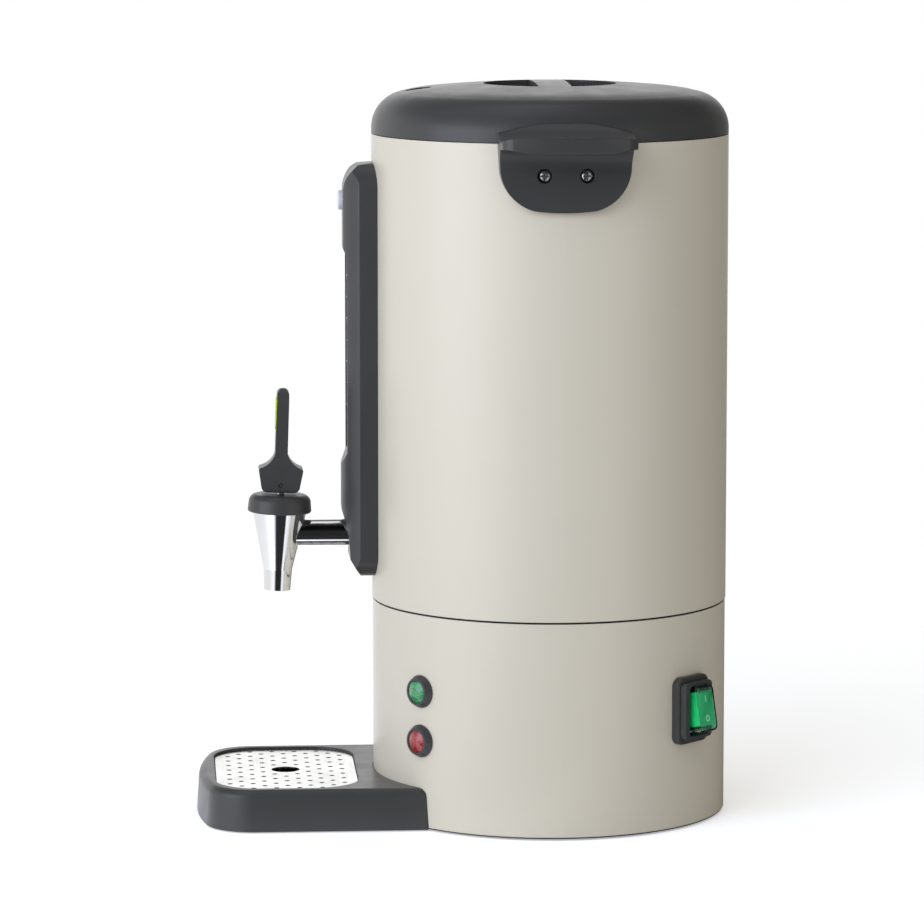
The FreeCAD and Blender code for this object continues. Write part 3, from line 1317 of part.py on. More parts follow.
def tongues(grow):
    """Both tongues behind the tray, which enter slots in the base."""
    half = TONGUE_WIDTH / 2 + grow
    surface = -math.sqrt(BASE_RADIUS ** 2 - TONGUE_SPREAD ** 2)
    y = (surface - TONGUE_ROOT, surface + TONGUE_LENGTH)
    z = (TONGUE_LOW - grow, TONGUE_LOW + TONGUE_HEIGHT + grow)
    return [block((centre - half, centre + half), y, z) for centre in (-TONGUE_SPREAD, TONGUE_SPREAD)]


def drip_tray():
    """Moulded tray: a well under the grid, hollow beneath round the well."""
    tray = tray_block(0.0, TRAY_BOTTOM, TRAY_TOP)
    rim = edges_where(tray, lambda b: b.ZMin > TRAY_TOP - TOUCH and b.YMin < -BODY_RADIUS / 2 - PAST)
    tray = tray.makeFillet(TRAY_EDGE, rim)
    tray = tray.cut(disc(BASE_RADIUS + TRAY_GAP, 0, FAR))
    tray = tray.cut(grid_shape(GRID_FIT, GRID_CORNER + GRID_FIT, GRID_SEAT, FAR))
    tray = tray.cut(grid_shape(-GRID_LEDGE, TRAY_WELL_CORNER, TRAY_BOTTOM + TRAY_WALL, FAR))
    hollow = tray_block(TRAY_WALL, 0, GRID_SEAT - TRAY_WALL)
    well_wall = grid_shape(TRAY_WALL - GRID_LEDGE, TRAY_WELL_CORNER + TRAY_WALL, -PAST, FAR)
    hollow = hollow.cut([well_wall, disc(BASE_RADIUS + TRAY_GAP + TRAY_WALL, -PAST, FAR)])
    tray = joined(tray.cut(hollow), *tongues(0.0)).cut(pads())
    reach = GRID_LENGTH / 2 + GRID_FIT + PAST
    mouth = edges_where(tray, lambda b: b.ZMin > TRAY_TOP - TOUCH and b.XMax < reach and b.XMin > -reach
                        and b.YMax < -GRID_BACK + GRID_FIT + PAST)
    return tray.makeFillet(TRAY_MOUTH_EDGE, mouth)


def tray_pads():
    return group(pads())


def grid_holes():
    """Staggered holes, kept clear of the round centre hole and of the rounded corners."""
    half_x = GRID_LENGTH / 2 - GRID_CORNER
    half_y = (GRID_FRONT - GRID_BACK) / 2 - GRID_CORNER
    side = GRID_COLUMNS // 2
    reach = int(GRID_LENGTH / GRID_PITCH)
    places = []
    for column in range(-side, side + 1):
        shift = 0.5 if column % 2 == 0 else 0.0
        for row in range(-reach, reach + 1):
            x = (row + shift) * GRID_PITCH
            y = column * GRID_COLUMN
            past = math.hypot(max(abs(x) - half_x, 0.0), max(abs(y) - half_y, 0.0))
            inside = past < GRID_CORNER - GRID_HOLE_MARGIN and abs(x) < GRID_LENGTH / 2 - GRID_HOLE_MARGIN
            if inside and math.hypot(x, y) > GRID_CENTRE_HOLE + GRID_HOLE + PAST:
                places.append((x, y + grid_middle()))
    return places


def drip_grid():
    plate = grid_shape(0.0, GRID_CORNER, GRID_SEAT, GRID_TOP)
    through = (GRID_SEAT - PAST, GRID_TOP + PAST)
    drills = [rod_z(GRID_HOLE, x, y, through) for x, y in grid_holes()]
    drills.append(rod_z(GRID_CENTRE_HOLE, 0, grid_middle(), through))
    return plate.cut(drills)


# Base
def lamp_place(shape, colour):
    """Set a shape made round the X axis at one of the two lamps."""
    return about_z(at(shape, 0, 0, LAMP_HEIGHTS[colour]), LAMP_ANGLE)


def switch_place(shape):
    """Set a shape made round the X axis at the switch."""
    return about_z(at(shape, 0, 0, SWITCH_HEIGHT), SWITCH_ANGLE)


def gland_place(shape):
    return about_z(at(shape, 0, 0, GLAND_HEIGHT), GLAND_ANGLE)


def base_skirt():
    wall = ring(BASE_RADIUS, BASE_INNER, BASE_BOTTOM, SEAM_HEIGHT)
    flange = ring(BASE_RADIUS, BODY_RADIUS - FLANGE_WIDTH, SEAM_HEIGHT - SHEET, SEAM_HEIGHT)
    skirt = joined(wall, flange)
    lamp_hole = rod_x(LAMP_BARREL + FIT, (0, FAR), 0, 0)
    skirt = skirt.cut([lamp_place(lamp_hole, colour) for colour in LAMP_HEIGHTS])
    cutout = (SWITCH_HALF_WIDTH + 2 * FIT, SWITCH_HALF_HEIGHT + 2 * FIT)
    skirt = skirt.cut(switch_place(rounded_block_x((0, FAR), cutout, SWITCH_BODY_CORNER)))
    skirt = skirt.cut(gland_place(rod_x(GLAND_BARREL + FIT, (0, FAR), 0, 0)))
    return skirt.cut(tongues(TONGUE_FIT))


def seam_gasket():
    return ring(BASE_RADIUS - SEAM_RECESS, BODY_RADIUS - FLANGE_WIDTH, SEAM_HEIGHT, TANK_LOW)


def bottom_cover():
    """Black sheet under the base. Its lip carries the skirt, and its middle is raised."""
    lip = BASE_RADIUS - BASE_STEP
    under = COVER_RECESS_RADIUS - SHEET / 2
    over = COVER_RECESS_RADIUS + SHEET / 2
    low = BASE_BOTTOM - COVER_LIP
    cover = revolved((0.0, COVER_TOP), (0.0, COVER_UNDER), (under, COVER_UNDER), (under + COVER_SLOPE, low),
                     (lip, low), (lip, BASE_BOTTOM), (over + COVER_SLOPE, BASE_BOTTOM), (over, COVER_TOP))
    vent = rounded_block_z((COVER_VENT_START, COVER_VENT_END), (-COVER_VENT_HALF, COVER_VENT_HALF),
                           (0, COVER_TOP + PAST), COVER_VENT_HALF - FIT)
    through = (0, COVER_TOP + PAST)
    cover = cover.cut(around(evenly(COVER_VENTS), vent))
    cover = cover.cut(around(ROD_ANGLES, rod_z(ROD_RADIUS + FIT, ROD_REACH, 0, through)))
    return cover.cut(around(FOOT_ANGLES, rod_z(FOOT_NECK, FOOT_REACH, 0, through)))


def rubber_feet():
    """Soft feet pushed through the cover: each has a neck in its hole and a barb above it."""
    bulge = FOOT_ROUND * ROUNDING
    barb_top = COVER_TOP + FOOT_BARB_HEIGHT
    foot = revolved((0.0, 0.0), (FOOT_RADIUS - FOOT_ROUND, 0.0),
                    ((FOOT_RADIUS - bulge, bulge), (FOOT_RADIUS, FOOT_ROUND)), (FOOT_RADIUS, COVER_UNDER),
                    (FOOT_NECK, COVER_UNDER), (FOOT_NECK, COVER_TOP), (FOOT_NECK + FOOT_BARB, COVER_TOP),
                    (FOOT_TIP, barb_top), (0.0, barb_top))
    return group(around(FOOT_ANGLES, at(foot, FOOT_REACH, 0, 0)))


def tie_rods():
    """Rods welded under the tank floor, which pull the bottom cover up against the skirt."""
    return group(around(ROD_ANGLES, rod_z(ROD_RADIUS, ROD_REACH, 0, (ROD_END, FLOOR_UNDER))))


def hex_nut(x, top):
    nut = hexagon(NUT_ACROSS, top - NUT_HEIGHT, top).cut(disc(ROD_RADIUS, 0, FAR))
    return at(nut, x, 0, 0)


def hex_nuts():
    """The three nuts under the cover and the one that holds the heater, all alike."""
    return group(around(ROD_ANGLES, hex_nut(ROD_REACH, COVER_UNDER)) + [hex_nut(0, CLAMP_LOW)])


def upright_blade(back, y):
    """A contact blade that runs inwards along X from back."""
    return block((back - BLADE_LENGTH, back + PAST), (y - BLADE_HALF, y + BLADE_HALF),
                 (-BLADE_WIDE_HALF, BLADE_WIDE_HALF))


def lamp_bodies():
    face = BASE_RADIUS + LAMP_PROUD
    root = BASE_RADIUS - LAMP_PROUD
    back = BASE_INNER - LAMP_DEPTH
    flange = revolved((0.0, root), (LAMP_RADIUS, root), (LAMP_RADIUS, BASE_RADIUS + LAMP_EDGE),
                      (LAMP_FACE_RADIUS, face), (0.0, face))
    flange = outward(flange).cut(disc(BASE_RADIUS, -FAR, FAR))
    barrel = rod_x(LAMP_BARREL, (back, BASE_RADIUS + LAMP_EDGE), 0, 0)
    blades = [upright_blade(back, y) for y in (-LAMP_BLADE_SPREAD, LAMP_BLADE_SPREAD)]
    body = joined(flange, barrel, *blades)
    body = body.cut(rod_x(LENS_RADIUS, (face - LENS_SINK, FAR), 0, 0))
    return group([lamp_place(body, colour) for colour in LAMP_HEIGHTS])


def lamp_lens(colour):
    """A round lens with a spherical face."""
    seat = BASE_RADIUS + LAMP_PROUD - LENS_SINK
    radius = LENS_RADIUS - FIT
    rim = seat + LENS_EDGE
    lens = revolved((0.0, seat), (radius, seat), (radius, rim), cap_arc(radius, rim, seat + LENS_HEIGHT))
    return lamp_place(outward(lens), colour)


def wall_nut(across, height, bore):
    """A hexagonal nut along X against the inside of the skirt."""
    nut = outward(hexagon(across, BASE_INNER - height, BASE_INNER)).common(disc(BASE_INNER, -FAR, FAR))
    return nut.cut(rod_x(bore, (0, FAR), 0, 0))


def lamp_nuts():
    nut = wall_nut(LAMP_NUT_ACROSS, LAMP_NUT_HEIGHT, LAMP_BARREL)
    return group([lamp_place(nut, colour) for colour in LAMP_HEIGHTS])


def switch_plate():
    root = BASE_RADIUS - SWITCH_PLATE_PROUD
    plate = rounded_block_x((root, SWITCH_FACE), SWITCH_PLATE_HALF, SWITCH_PLATE_CORNER)
    front = edges_where(plate, lambda b: b.XMin > SWITCH_FACE - TOUCH)
    plate = plate.makeFillet(SWITCH_PLATE_EDGE, front).cut(disc(BASE_RADIUS, -FAR, FAR))
    hole = (SWITCH_HALF_WIDTH + FIT / 2, SWITCH_HALF_HEIGHT + FIT / 2)
    return switch_place(plate.cut(rounded_block_x((0, FAR), hole, SWITCH_BODY_CORNER)))


def switch_housing():
    front = SWITCH_FACE + SWITCH_RISE
    body = rounded_block_x((SWITCH_BODY_BACK, front), SWITCH_HALF, SWITCH_BODY_CORNER)
    body = body.makeFillet(SWITCH_EDGE, edges_where(body, lambda b: b.XMin > front - TOUCH))
    body = body.cut(rounded_block_x((SWITCH_CAVITY_BACK, FAR), SWITCH_CAVITY_HALF, SWITCH_CAVITY_CORNER))
    socket = SWITCH_HALF_WIDTH - ROCKER_PIN_SKIN
    body = body.cut(rod_y(ROCKER_PIN + RUNNING, ROCKER_AXIS, (-socket, socket), 0))
    blades = [block((SWITCH_BODY_BACK - BLADE_LENGTH, SWITCH_BODY_BACK + PAST),
                    (-SWITCH_BLADE_HALF, SWITCH_BLADE_HALF), (z - BLADE_HALF, z + BLADE_HALF))
              for z in (-SWITCH_BLADE_SPREAD, 0.0, SWITCH_BLADE_SPREAD)]
    return switch_place(joined(body, *blades))


def rocked(shape):
    """Tilt a shape with the rocker, its top pressed in."""
    return about_y(shape, -ROCKER_TILT, ROCKER_AXIS)


def rocker():
    face = BASE_RADIUS + BOOT_FACE - BOOT_WALL
    body = rounded_block_x((ROCKER_AXIS - ROCKER_BACK, face), ROCKER_HALF, ROCKER_CORNER)
    pin_end = SWITCH_HALF_WIDTH - ROCKER_PIN_SKIN - LOOSE
    pin = rod_y(ROCKER_PIN, ROCKER_AXIS, (-pin_end, pin_end), 0)
    return switch_place(rocked(joined(body, pin)))


def switch_boot():
    """Soft clear hood over the rocker, which moves with it."""
    face = BASE_RADIUS + BOOT_FACE
    back = SWITCH_FACE + BOOT_LIFT
    boot = rounded_block_x((back, face), BOOT_HALF, BOOT_CORNER)
    boot = boot.makeFillet(BOOT_EDGE, edges_where(boot, lambda b: b.XMin > face - TOUCH))
    inner = rounded_block_x((back - PAST, face - BOOT_WALL), BOOT_INNER_HALF, BOOT_CORNER - BOOT_WALL)
    return switch_place(rocked(boot.cut(inner)))


def cord_gland():
    """Gland through the skirt for the mains cord: a hexagonal flange and a rounded nose."""
    face = BASE_RADIUS + GLAND_FLANGE
    root = BASE_RADIUS - GLAND_FLANGE
    flange = outward(hexagon(2 * GLAND_RADIUS, root, face)).cut(disc(BASE_RADIUS, -FAR, FAR))
    tip = BASE_RADIUS + GLAND_NOSE
    tip_radius = GLAND_BORE + GLAND_WALL
    side = face + GLAND_NOSE_SIDE
    bend = (GLAND_NOSE_RADIUS - (GLAND_NOSE_RADIUS - tip_radius) * ROUNDING, tip - (tip - side) * ROUNDING)
    nose = revolved((0.0, face - PAST), (GLAND_NOSE_RADIUS, face - PAST), (GLAND_NOSE_RADIUS, side),
                    (bend, (tip_radius, tip)), (0.0, tip))
    barrel = rod_x(GLAND_BARREL, (BASE_INNER - GLAND_INSIDE, face), 0, 0)
    gland = joined(flange, outward(nose), barrel)
    return gland_place(gland.cut(rod_x(GLAND_BORE, (0, FAR), 0, 0)))


def gland_nut():
    return gland_place(wall_nut(GLAND_NUT_ACROSS, GLAND_NUT_HEIGHT, GLAND_BARREL))


# Heater
def well_cup():
    """Cup in the tank floor in which the pump's foot stands, with the stud that carries the heater."""
    under = WELL_FLOOR - SHEET
    rim = WELL_RADIUS + WELL_FLANGE
    inner = WELL_RADIUS - SHEET
    cup = revolved((0.0, under), (WELL_RADIUS, under), (WELL_RADIUS, TANK_FLOOR), (rim, TANK_FLOOR),
                   (rim, TANK_FLOOR + SHEET), (inner, TANK_FLOOR + SHEET), (inner, WELL_FLOOR),
                   (0.0, WELL_FLOOR))
    return joined(cup, disc(ROD_RADIUS, CLAMP_LOW - NUT_HEIGHT - STUD_SPARE, under))


def element_ends():
    """Turn about Z of each end of the element, either side of the gap at the back."""
    gap = (360 - ELEMENT_TURN) / 2
    return [90 - gap, 90 + gap]


def element_tube():
    """A ring with a gap at the back, whose two ends turn down."""
    middle = HEATER_LOW + HEATER_THICK / 2
    tube = Part.makeTorus(ELEMENT_RADIUS, ELEMENT_WIRE, vector(0, 0, middle), vector(0, 0, 1), 0, 360,
                          ELEMENT_TURN)
    tube = about_z(tube, element_ends()[1])
    leg = rod_z(ELEMENT_WIRE, ELEMENT_RADIUS, 0, (HEATER_LOW - ELEMENT_LEG, middle))
    leg = joined(leg, Part.makeSphere(ELEMENT_WIRE, vector(ELEMENT_RADIUS, 0, middle)))
    return joined(tube, *around(element_ends(), leg))


def heating_element():
    pin = rod_z(ELEMENT_PIN, ELEMENT_RADIUS, 0, (ELEMENT_END, HEATER_LOW - ELEMENT_LEG + PAST))
    return joined(element_tube(), *around(element_ends(), pin))


def heater_plate():
    """Cast aluminium plate under the floor, round the well and the element."""
    return ring(HEATER_RADIUS, WELL_RADIUS, HEATER_LOW, FLOOR_UNDER).cut(element_tube())


def heater_clamp():
    through = (CLAMP_LOW - PAST, HEATER_LOW + PAST)
    plate = disc(CLAMP_RADIUS, CLAMP_LOW, HEATER_LOW).cut(disc(ROD_RADIUS + FIT, 0, FAR))
    hole = rod_z(ELEMENT_WIRE + CLAMP_HOLE_GAP, ELEMENT_RADIUS, 0, through)
    return plate.cut(around(element_ends(), hole))


def thermostat(turn):
    """Disc thermostat bonded flat against the tank floor, with its two blades."""
    half_length = STAT_FLANGE_LENGTH / 2
    half_width = STAT_FLANGE_WIDTH / 2
    flange = block((-half_length, half_length), (-half_width, half_width),
                   (FLOOR_UNDER - STAT_FLANGE_THICK, FLOOR_UNDER))
    body = disc(STAT_RADIUS, FLOOR_UNDER - STAT_DEPTH, FLOOR_UNDER)
    blades = [block((x - BLADE_HALF, x + BLADE_HALF), (-BLADE_WIDE_HALF, BLADE_WIDE_HALF),
                    (STAT_END, FLOOR_UNDER - STAT_DEPTH + PAST))
              for x in (-STAT_BLADE_SPREAD, STAT_BLADE_SPREAD)]
    return about_z(at(joined(body, flange, *blades), STAT_REACH, 0, 0), turn)


# Wiring inside the base
def wire_run(points):
    """A round wire along straight runs joined by tangent arcs."""
    edges = []
    here = points[0]
    for before, corner, after in zip(points, points[1:], points[2:]):
        back = (before - corner).normalize()
        on = (after - corner).normalize()
        trim = WIRE_BEND / math.tan(math.acos(back.dot(on)) / 2)
        edges.append(Part.LineSegment(here, corner + back * trim).toShape())
        edges.append(corner_arc(corner, back, on, trim))
        here = corner + on * trim
    edges.append(Part.LineSegment(here, points[-1]).toShape())
    direction = (points[1] - points[0]).normalize()
    circle = Part.Wire([Part.Circle(points[0], direction, WIRE_RADIUS).toShape()])
    return Part.Wire(edges).makePipeShell([circle], True, False)


def terminal_x(i):
    return TERMINAL_X + (i - (TERMINAL_COUNT - 1) / 2) * TERMINAL_PITCH


def terminal_block():
    half_length = TERMINAL_COUNT * TERMINAL_PITCH / 2 + TERMINAL_END
    half_width = TERMINAL_WIDTH / 2
    top = COVER_TOP + TERMINAL_HEIGHT
    body = rounded_block_z((TERMINAL_X - half_length, TERMINAL_X + half_length),
                           (TERMINAL_Y - half_width, TERMINAL_Y + half_width), (COVER_TOP, top),
                           TERMINAL_CORNER)
    return body.cut([rod_z(TERMINAL_BORE, terminal_x(i), TERMINAL_Y, (top - TERMINAL_DEPTH, top + PAST))
                     for i in range(TERMINAL_COUNT)])


def wiring():
    """Leads from the terminals to the element, the thermostats, the switch and the red lamp."""
    mouth = COVER_TOP + TERMINAL_HEIGHT - TERMINAL_DEPTH
    switch_end = SWITCH_BODY_BACK - BLADE_LENGTH
    lamp_end = BASE_INNER - LAMP_DEPTH - BLADE_LENGTH
    down = vector(0, 0, -1)
    near, far = element_ends()
    ends = [(round_z(ELEMENT_RADIUS, far, ELEMENT_END), down),
            (round_z(ELEMENT_RADIUS, near, ELEMENT_END), down),
            (round_z(STAT_REACH + STAT_BLADE_SPREAD, BOIL_DRY_ANGLE, STAT_END), down),
            (round_z(STAT_REACH - STAT_BLADE_SPREAD, KEEP_WARM_ANGLE, STAT_END), down),
            (round_z(switch_end, SWITCH_ANGLE, SWITCH_HEIGHT), round_z(-1, SWITCH_ANGLE, 0)),
            (round_z(lamp_end, LAMP_ANGLE, LAMP_HEIGHTS["red"]), round_z(-1, LAMP_ANGLE, 0))]
    leads = []
    for i, (end, away) in enumerate(ends):
        start = vector(terminal_x(i), TERMINAL_Y, mouth)
        level = WIRE_LEVEL + WIRE_RANKS[i] * WIRE_LEVEL_STEP
        leads.append(wire_run([start, vector(start.x, start.y, level), end + away * WIRE_LEAD, end]))
    return group(leads)


# Brewing pieces inside the tank
def pump_bell():
    """Sheet bell that stands in the well and leads the steam up into the tube."""
    low = WELL_FLOOR
    inner = PUMP_BELL - SHEET
    neck = (PUMP_RADIUS + PUMP_BORE) / 2
    return revolved((inner, low), (PUMP_BELL, low), (PUMP_BELL, low + BELL_SIDE),
                    ((PUMP_BELL - BELL_TURN, low + BELL_TURN_RISE),
                     (PUMP_BELL - BELL_ROUND, low + BELL_SHOULDER)), (neck, low + BELL_TOP),
                    (neck, low + BELL_TOP - SHEET), (inner - BELL_ROUND, low + BELL_SHOULDER - SHEET),
                    ((inner - BELL_TURN, low + BELL_TURN_RISE - SHEET), (inner, low + BELL_SIDE)))


def pump_tube():
    """Percolator tube welded to its bell, with the collar that carries the basket.

    The bell's perforated deck has a headed peg, which guides the loose valve washer.
    """
    low = WELL_FLOOR
    tube = ring(PUMP_RADIUS, PUMP_BORE, low + BELL_SHOULDER, PUMP_TOP)
    collar = ring(PUMP_RADIUS + COLLAR_WIDTH, (PUMP_RADIUS + PUMP_BORE) / 2, BASKET_LOW - COLLAR_HEIGHT,
                  BASKET_LOW)
    deck_top = low + DECK_RISE
    deck = disc(PUMP_BELL - SHEET / 2, deck_top - DECK_THICK, deck_top)
    hole = rod_z(DECK_HOLE, DECK_HOLE_REACH, 0, (low, deck_top + PAST))
    deck = deck.cut(around(evenly(DECK_HOLES), hole))
    peg_top = deck_top + PEG_HEIGHT
    peg = joined(disc(PEG_RADIUS, deck_top - DECK_THICK, peg_top),
                 disc(PEG_RADIUS + PEG_HEAD, peg_top, peg_top + PEG_HEAD_THICK))
    pump = joined(tube, collar, pump_bell(), deck, peg)
    return pump.cut(around(NOTCH_ANGLES, rod_x(NOTCH_RADIUS, (0, FAR), 0, low)))


def valve_washer():
    deck = WELL_FLOOR + DECK_RISE
    return ring(WASHER_RADIUS, PEG_RADIUS + LOOSE, deck, deck + SHEET)


def sieve(start, step, pitch, low):
    """Drills for rings of evenly spaced holes in a sheet of the basket or its lid."""
    drills = []
    reach = start
    while reach < BASKET_RADIUS - SIEVE_BORDER:
        drill = rod_z(SIEVE_HOLE, reach, 0, (low - PAST, low + SHEET + PAST))
        drills += around(evenly(int(2 * math.pi * reach / pitch)), drill)
        reach += step
    return drills


def coffee_basket():
    sleeve = PUMP_RADIUS + 2 * FIT
    sleeve_top = BASKET_TOP - BASKET_SLEEVE_DROP
    rim = BASKET_RADIUS + BASKET_RIM
    rim_low = BASKET_TOP - BASKET_RIM_THICK
    inner = BASKET_RADIUS - SHEET
    inner_corner = BASKET_CORNER - SHEET
    bulge = BASKET_CORNER * ROUNDING
    inner_bulge = inner_corner * ROUNDING
    floor = BASKET_LOW + SHEET
    bowl = revolved((sleeve, BASKET_LOW), (BASKET_RADIUS - BASKET_CORNER, BASKET_LOW),
                    ((BASKET_RADIUS - bulge, BASKET_LOW + bulge),
                     (BASKET_RADIUS, BASKET_LOW + BASKET_CORNER)),
                    (BASKET_RADIUS, rim_low), (rim, rim_low), (rim, BASKET_TOP), (inner, BASKET_TOP),
                    (inner, floor + inner_corner),
                    ((inner - inner_bulge, floor + inner_bulge), (inner - inner_corner, floor)),
                    (sleeve + SHEET, floor), (sleeve + SHEET, sleeve_top), (sleeve, sleeve_top))
    return bowl.cut(sieve(SIEVE_START, SIEVE_STEP, SIEVE_PITCH, BASKET_LOW))


def basket_lid():
    """Spreader that lies on the basket and lets the hot water drip on to the coffee."""
    sleeve = PUMP_RADIUS + LOOSE
    rim = BASKET_RADIUS + SPREADER_RIM
    side = BASKET_RADIUS - SHEET - SPREADER_GAP
    low = BASKET_TOP - SPREADER_SINK
    top = BASKET_TOP + SHEET
    sleeve_top = BASKET_TOP + SPREADER_SLEEVE
    lid = revolved((sleeve, low), (side, low), (side, BASKET_TOP), (rim, BASKET_TOP), (rim, top),
                   (side - SHEET, top), (side - SHEET, low + SHEET), (sleeve + SHEET, low + SHEET),
                   (sleeve + SHEET, sleeve_top), (sleeve, sleeve_top))
    return lid.cut(sieve(SPREADER_START, SPREADER_STEP, SPREADER_PITCH, low))


def nodes():
    right = handle_right()
    return {
        "tank": tank(),
        "rim_ring": rim_ring(),
        "seam_gasket": seam_gasket(),
        "base_skirt": base_skirt(),
        "bottom_cover": bottom_cover(),
        "rubber_feet": rubber_feet(),
        "tie_rods": tie_rods(),
        "hex_nuts": hex_nuts(),
        "well_cup": well_cup(),
        "heater_plate": heater_plate(),
        "heating_element": heating_element(),
        "heater_clamp": heater_clamp(),
        "keep_warm_thermostat": thermostat(KEEP_WARM_ANGLE),
        "boil_dry_cutout": thermostat(BOIL_DRY_ANGLE),
        "terminal_block": terminal_block(),
        "wiring": wiring(),
        "cord_gland": cord_gland(),
        "gland_nut": gland_nut(),
        "lamp_bodies": lamp_bodies(),
        "lamp_lens_green": lamp_lens("green"),
        "lamp_lens_red": lamp_lens("red"),
        "lamp_nuts": lamp_nuts(),
        "switch_plate": switch_plate(),
        "switch_housing": switch_housing(),
        "rocker": rocker(),
        "switch_boot": switch_boot(),
        "handle_right": right,
        "handle_left": mirrored_x(right),
        "handle_screws": handle_screws(),
        "handle_nut_plates": handle_nut_plates(),
        "gauge_housing": gauge_housing(),
        "gauge_screw": gauge_screw(),
        "gauge_nut": gauge_nut(),
        "gauge_cap": gauge_cap(),
        "gauge_tee": gauge_tee(),
        "gauge_scale": gauge_scale(),
        "sight_tube": sight_tube(),
        "tube_bushes": tube_bushes(),
        "tap_body": tap_body(),
        "shank_washers": shank_washers(),
        "shank_nut": shank_nut(),
        "tap_bonnet": tap_bonnet(),
        "seat_cup": seat_cup(),
        "valve_stem": valve_stem(),
        "tap_spring": tap_spring(),
        "tap_lever": tap_lever(),
        "lever_insert": lever_insert(),
        "lever_pin": lever_pin(),
        "lid_shell": lid_shell(),
        "lid_liner": lid_liner(),
        "lid_gasket": lid_gasket(),
        "lid_screws": lid_screws(),
        "pump_tube": pump_tube(),
        "valve_washer": valve_washer(),
        "coffee_basket": coffee_basket(),
        "basket_lid": basket_lid(),
        "drip_tray": drip_tray(),
        "drip_grid": drip_grid(),
        "tray_pads": tray_pads(),
    }


os.makedirs("parts", exist_ok=True)
for name, shape in nodes().items():
    shape.exportStep(os.path.join("parts", name + ".step"))
    print(name, len(shape.Solids), round(shape.Volume, 1), shape.isValid())
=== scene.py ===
import json
import math

import bmesh
import bpy
from mathutils import Matrix, Vector


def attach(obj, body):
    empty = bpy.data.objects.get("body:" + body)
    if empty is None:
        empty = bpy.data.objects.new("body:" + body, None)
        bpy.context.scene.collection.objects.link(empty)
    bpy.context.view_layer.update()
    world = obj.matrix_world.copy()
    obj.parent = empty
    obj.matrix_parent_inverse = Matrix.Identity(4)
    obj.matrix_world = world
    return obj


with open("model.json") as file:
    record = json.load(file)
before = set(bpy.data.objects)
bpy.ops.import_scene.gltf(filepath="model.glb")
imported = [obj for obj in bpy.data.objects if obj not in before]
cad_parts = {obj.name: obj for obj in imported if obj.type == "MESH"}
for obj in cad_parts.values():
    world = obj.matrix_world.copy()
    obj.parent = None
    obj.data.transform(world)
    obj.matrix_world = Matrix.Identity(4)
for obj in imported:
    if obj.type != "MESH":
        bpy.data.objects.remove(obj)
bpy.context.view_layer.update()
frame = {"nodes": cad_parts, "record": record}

# Metres, +Z up. The tap points to -Y, and the carrying handles lie along X.

# Camera, as fitted to the photograph
CAMERA_TURN = math.radians(85.12)
CAMERA_DISTANCE = 2.9152
CAMERA_HEIGHT = 0.6048
CAMERA_PITCH = 0.13243
CAMERA_YAW = 0.01854
FOCAL_PIXELS = 4734.4
PHOTO_PIXELS = 924
SENSOR = 36.0

# Places that the details share with the model. Inside COAT_INSIDE the shell has no enamel.
WINDOW_FLOOR = 0.1250
SCALE_ZERO = 0.146
LITRE = 0.0267
FULL_LITRES = (4, 5, 6, 7)
COAT_INSIDE = 0.1093
SWITCH_TURN = math.radians(46.5)
SWITCH_HEIGHT = 0.074
ROCKER_AXIS = 0.112
ROCKER_FACE = 0.1228
ROCKER_TILT = math.radians(9.1)

# Printed marks
INK_THICK = 0.00006
NUMBER_HEIGHT = 0.0062
NUMBER_PLACE = 0.0098
TICK_START = 0.0062
TICK_LONG = 0.0062
TICK_SHORT = 0.0036
TICK_THICK = 0.0007
SIGN_PLACE = 0.0060
STROKE_HEIGHT = 0.0040
STROKE_WIDTH = 0.0008
RING_RADIUS = 0.0019
RING_BORE = 0.0012
RING_SIDES = 40
ROUND_END_STEPS = 8
NUMBER_SIZE = NUMBER_HEIGHT * 1.4

# Colours, linear
ENAMEL = (0.602, 0.548, 0.430)
ENAMEL_SHADE = (0.582, 0.528, 0.411)
COAT_WEIGHT = 0.4
BARE_STEEL = (0.62, 0.62, 0.61)
LIME = (0.53, 0.72, 0.02)
WHITE_INK = (0.86, 0.88, 0.84)

# The studio: how bright it looks in mirrors, by degrees round from the camera, to the right,
# and by the sine of the height above the horizon
MIRRORED_ROUND = ((-180, 1.5), (-150, 0.9), (-72, 0.82), (-26, 1.1), (-12, 0.02), (32, 0.02), (37, 0.9),
                  (56, 0.6), (70, 0.13), (128, 0.12), (160, 0.30), (180, 1.5))
MIRRORED_UP = ((-1.0, 1.0), (0.26, 1.0), (0.55, 0.20), (0.86, 0.06), (0.93, 0.7), (1.0, 0.7))
# The floor's painted dark reflection is centred under the tap: inside the first radius the floor stays white in
# mirrors, past the second it is painted with the mirrored brightness round the tap, dark towards the camera,
# standing in for a dark card
TAP_FOOT = (0.015, -0.167)
PAINTED_REFLECTION_NEAR = 0.12
PAINTED_REFLECTION_FAR = 0.16
BRIGHT_SIDE = math.radians(-40.0)
BRIGHT_LIGHT = (0.75, 0.81, 0.95)
DIM_LIGHT = (0.43, 0.385, 0.275)
KEY_COLOUR = (0.90, 0.965, 1.15)
FLOOR_SIDE = 6.0
FLOOR_GLOW = 0.40
FLOOR_NEAR = 0.30
FLOOR_FAR = 0.75

# Lamps: degrees round from the camera towards the back, then metres and watts. They aim at LAMP_AIM.
KEY_LAMP = {"turn": -30.0, "height": 1.15, "distance": 1.7, "size": (1.2, 1.0), "power": 13.0}
SIDE_LAMP = {"turn": -58.0, "height": 0.45, "distance": 1.5, "size": (1.0, 1.2), "power": 6.0}
LAMP_AIM = 0.22


# Material nodes
def add_node(tree, kind, sockets=None, **settings):
    """A shader node. A socket's value may be a number, a colour or another node's output."""
    made = tree.nodes.new("ShaderNode" + kind)
    for name, value in settings.items():
        setattr(made, name, value)
    for name, value in (sockets or {}).items():
        if isinstance(value, bpy.types.NodeSocket):
            tree.links.new(value, made.inputs[name])
        else:
            made.inputs[name].default_value = value
    return made


def rgba(colour):
    return (*colour, 1.0)


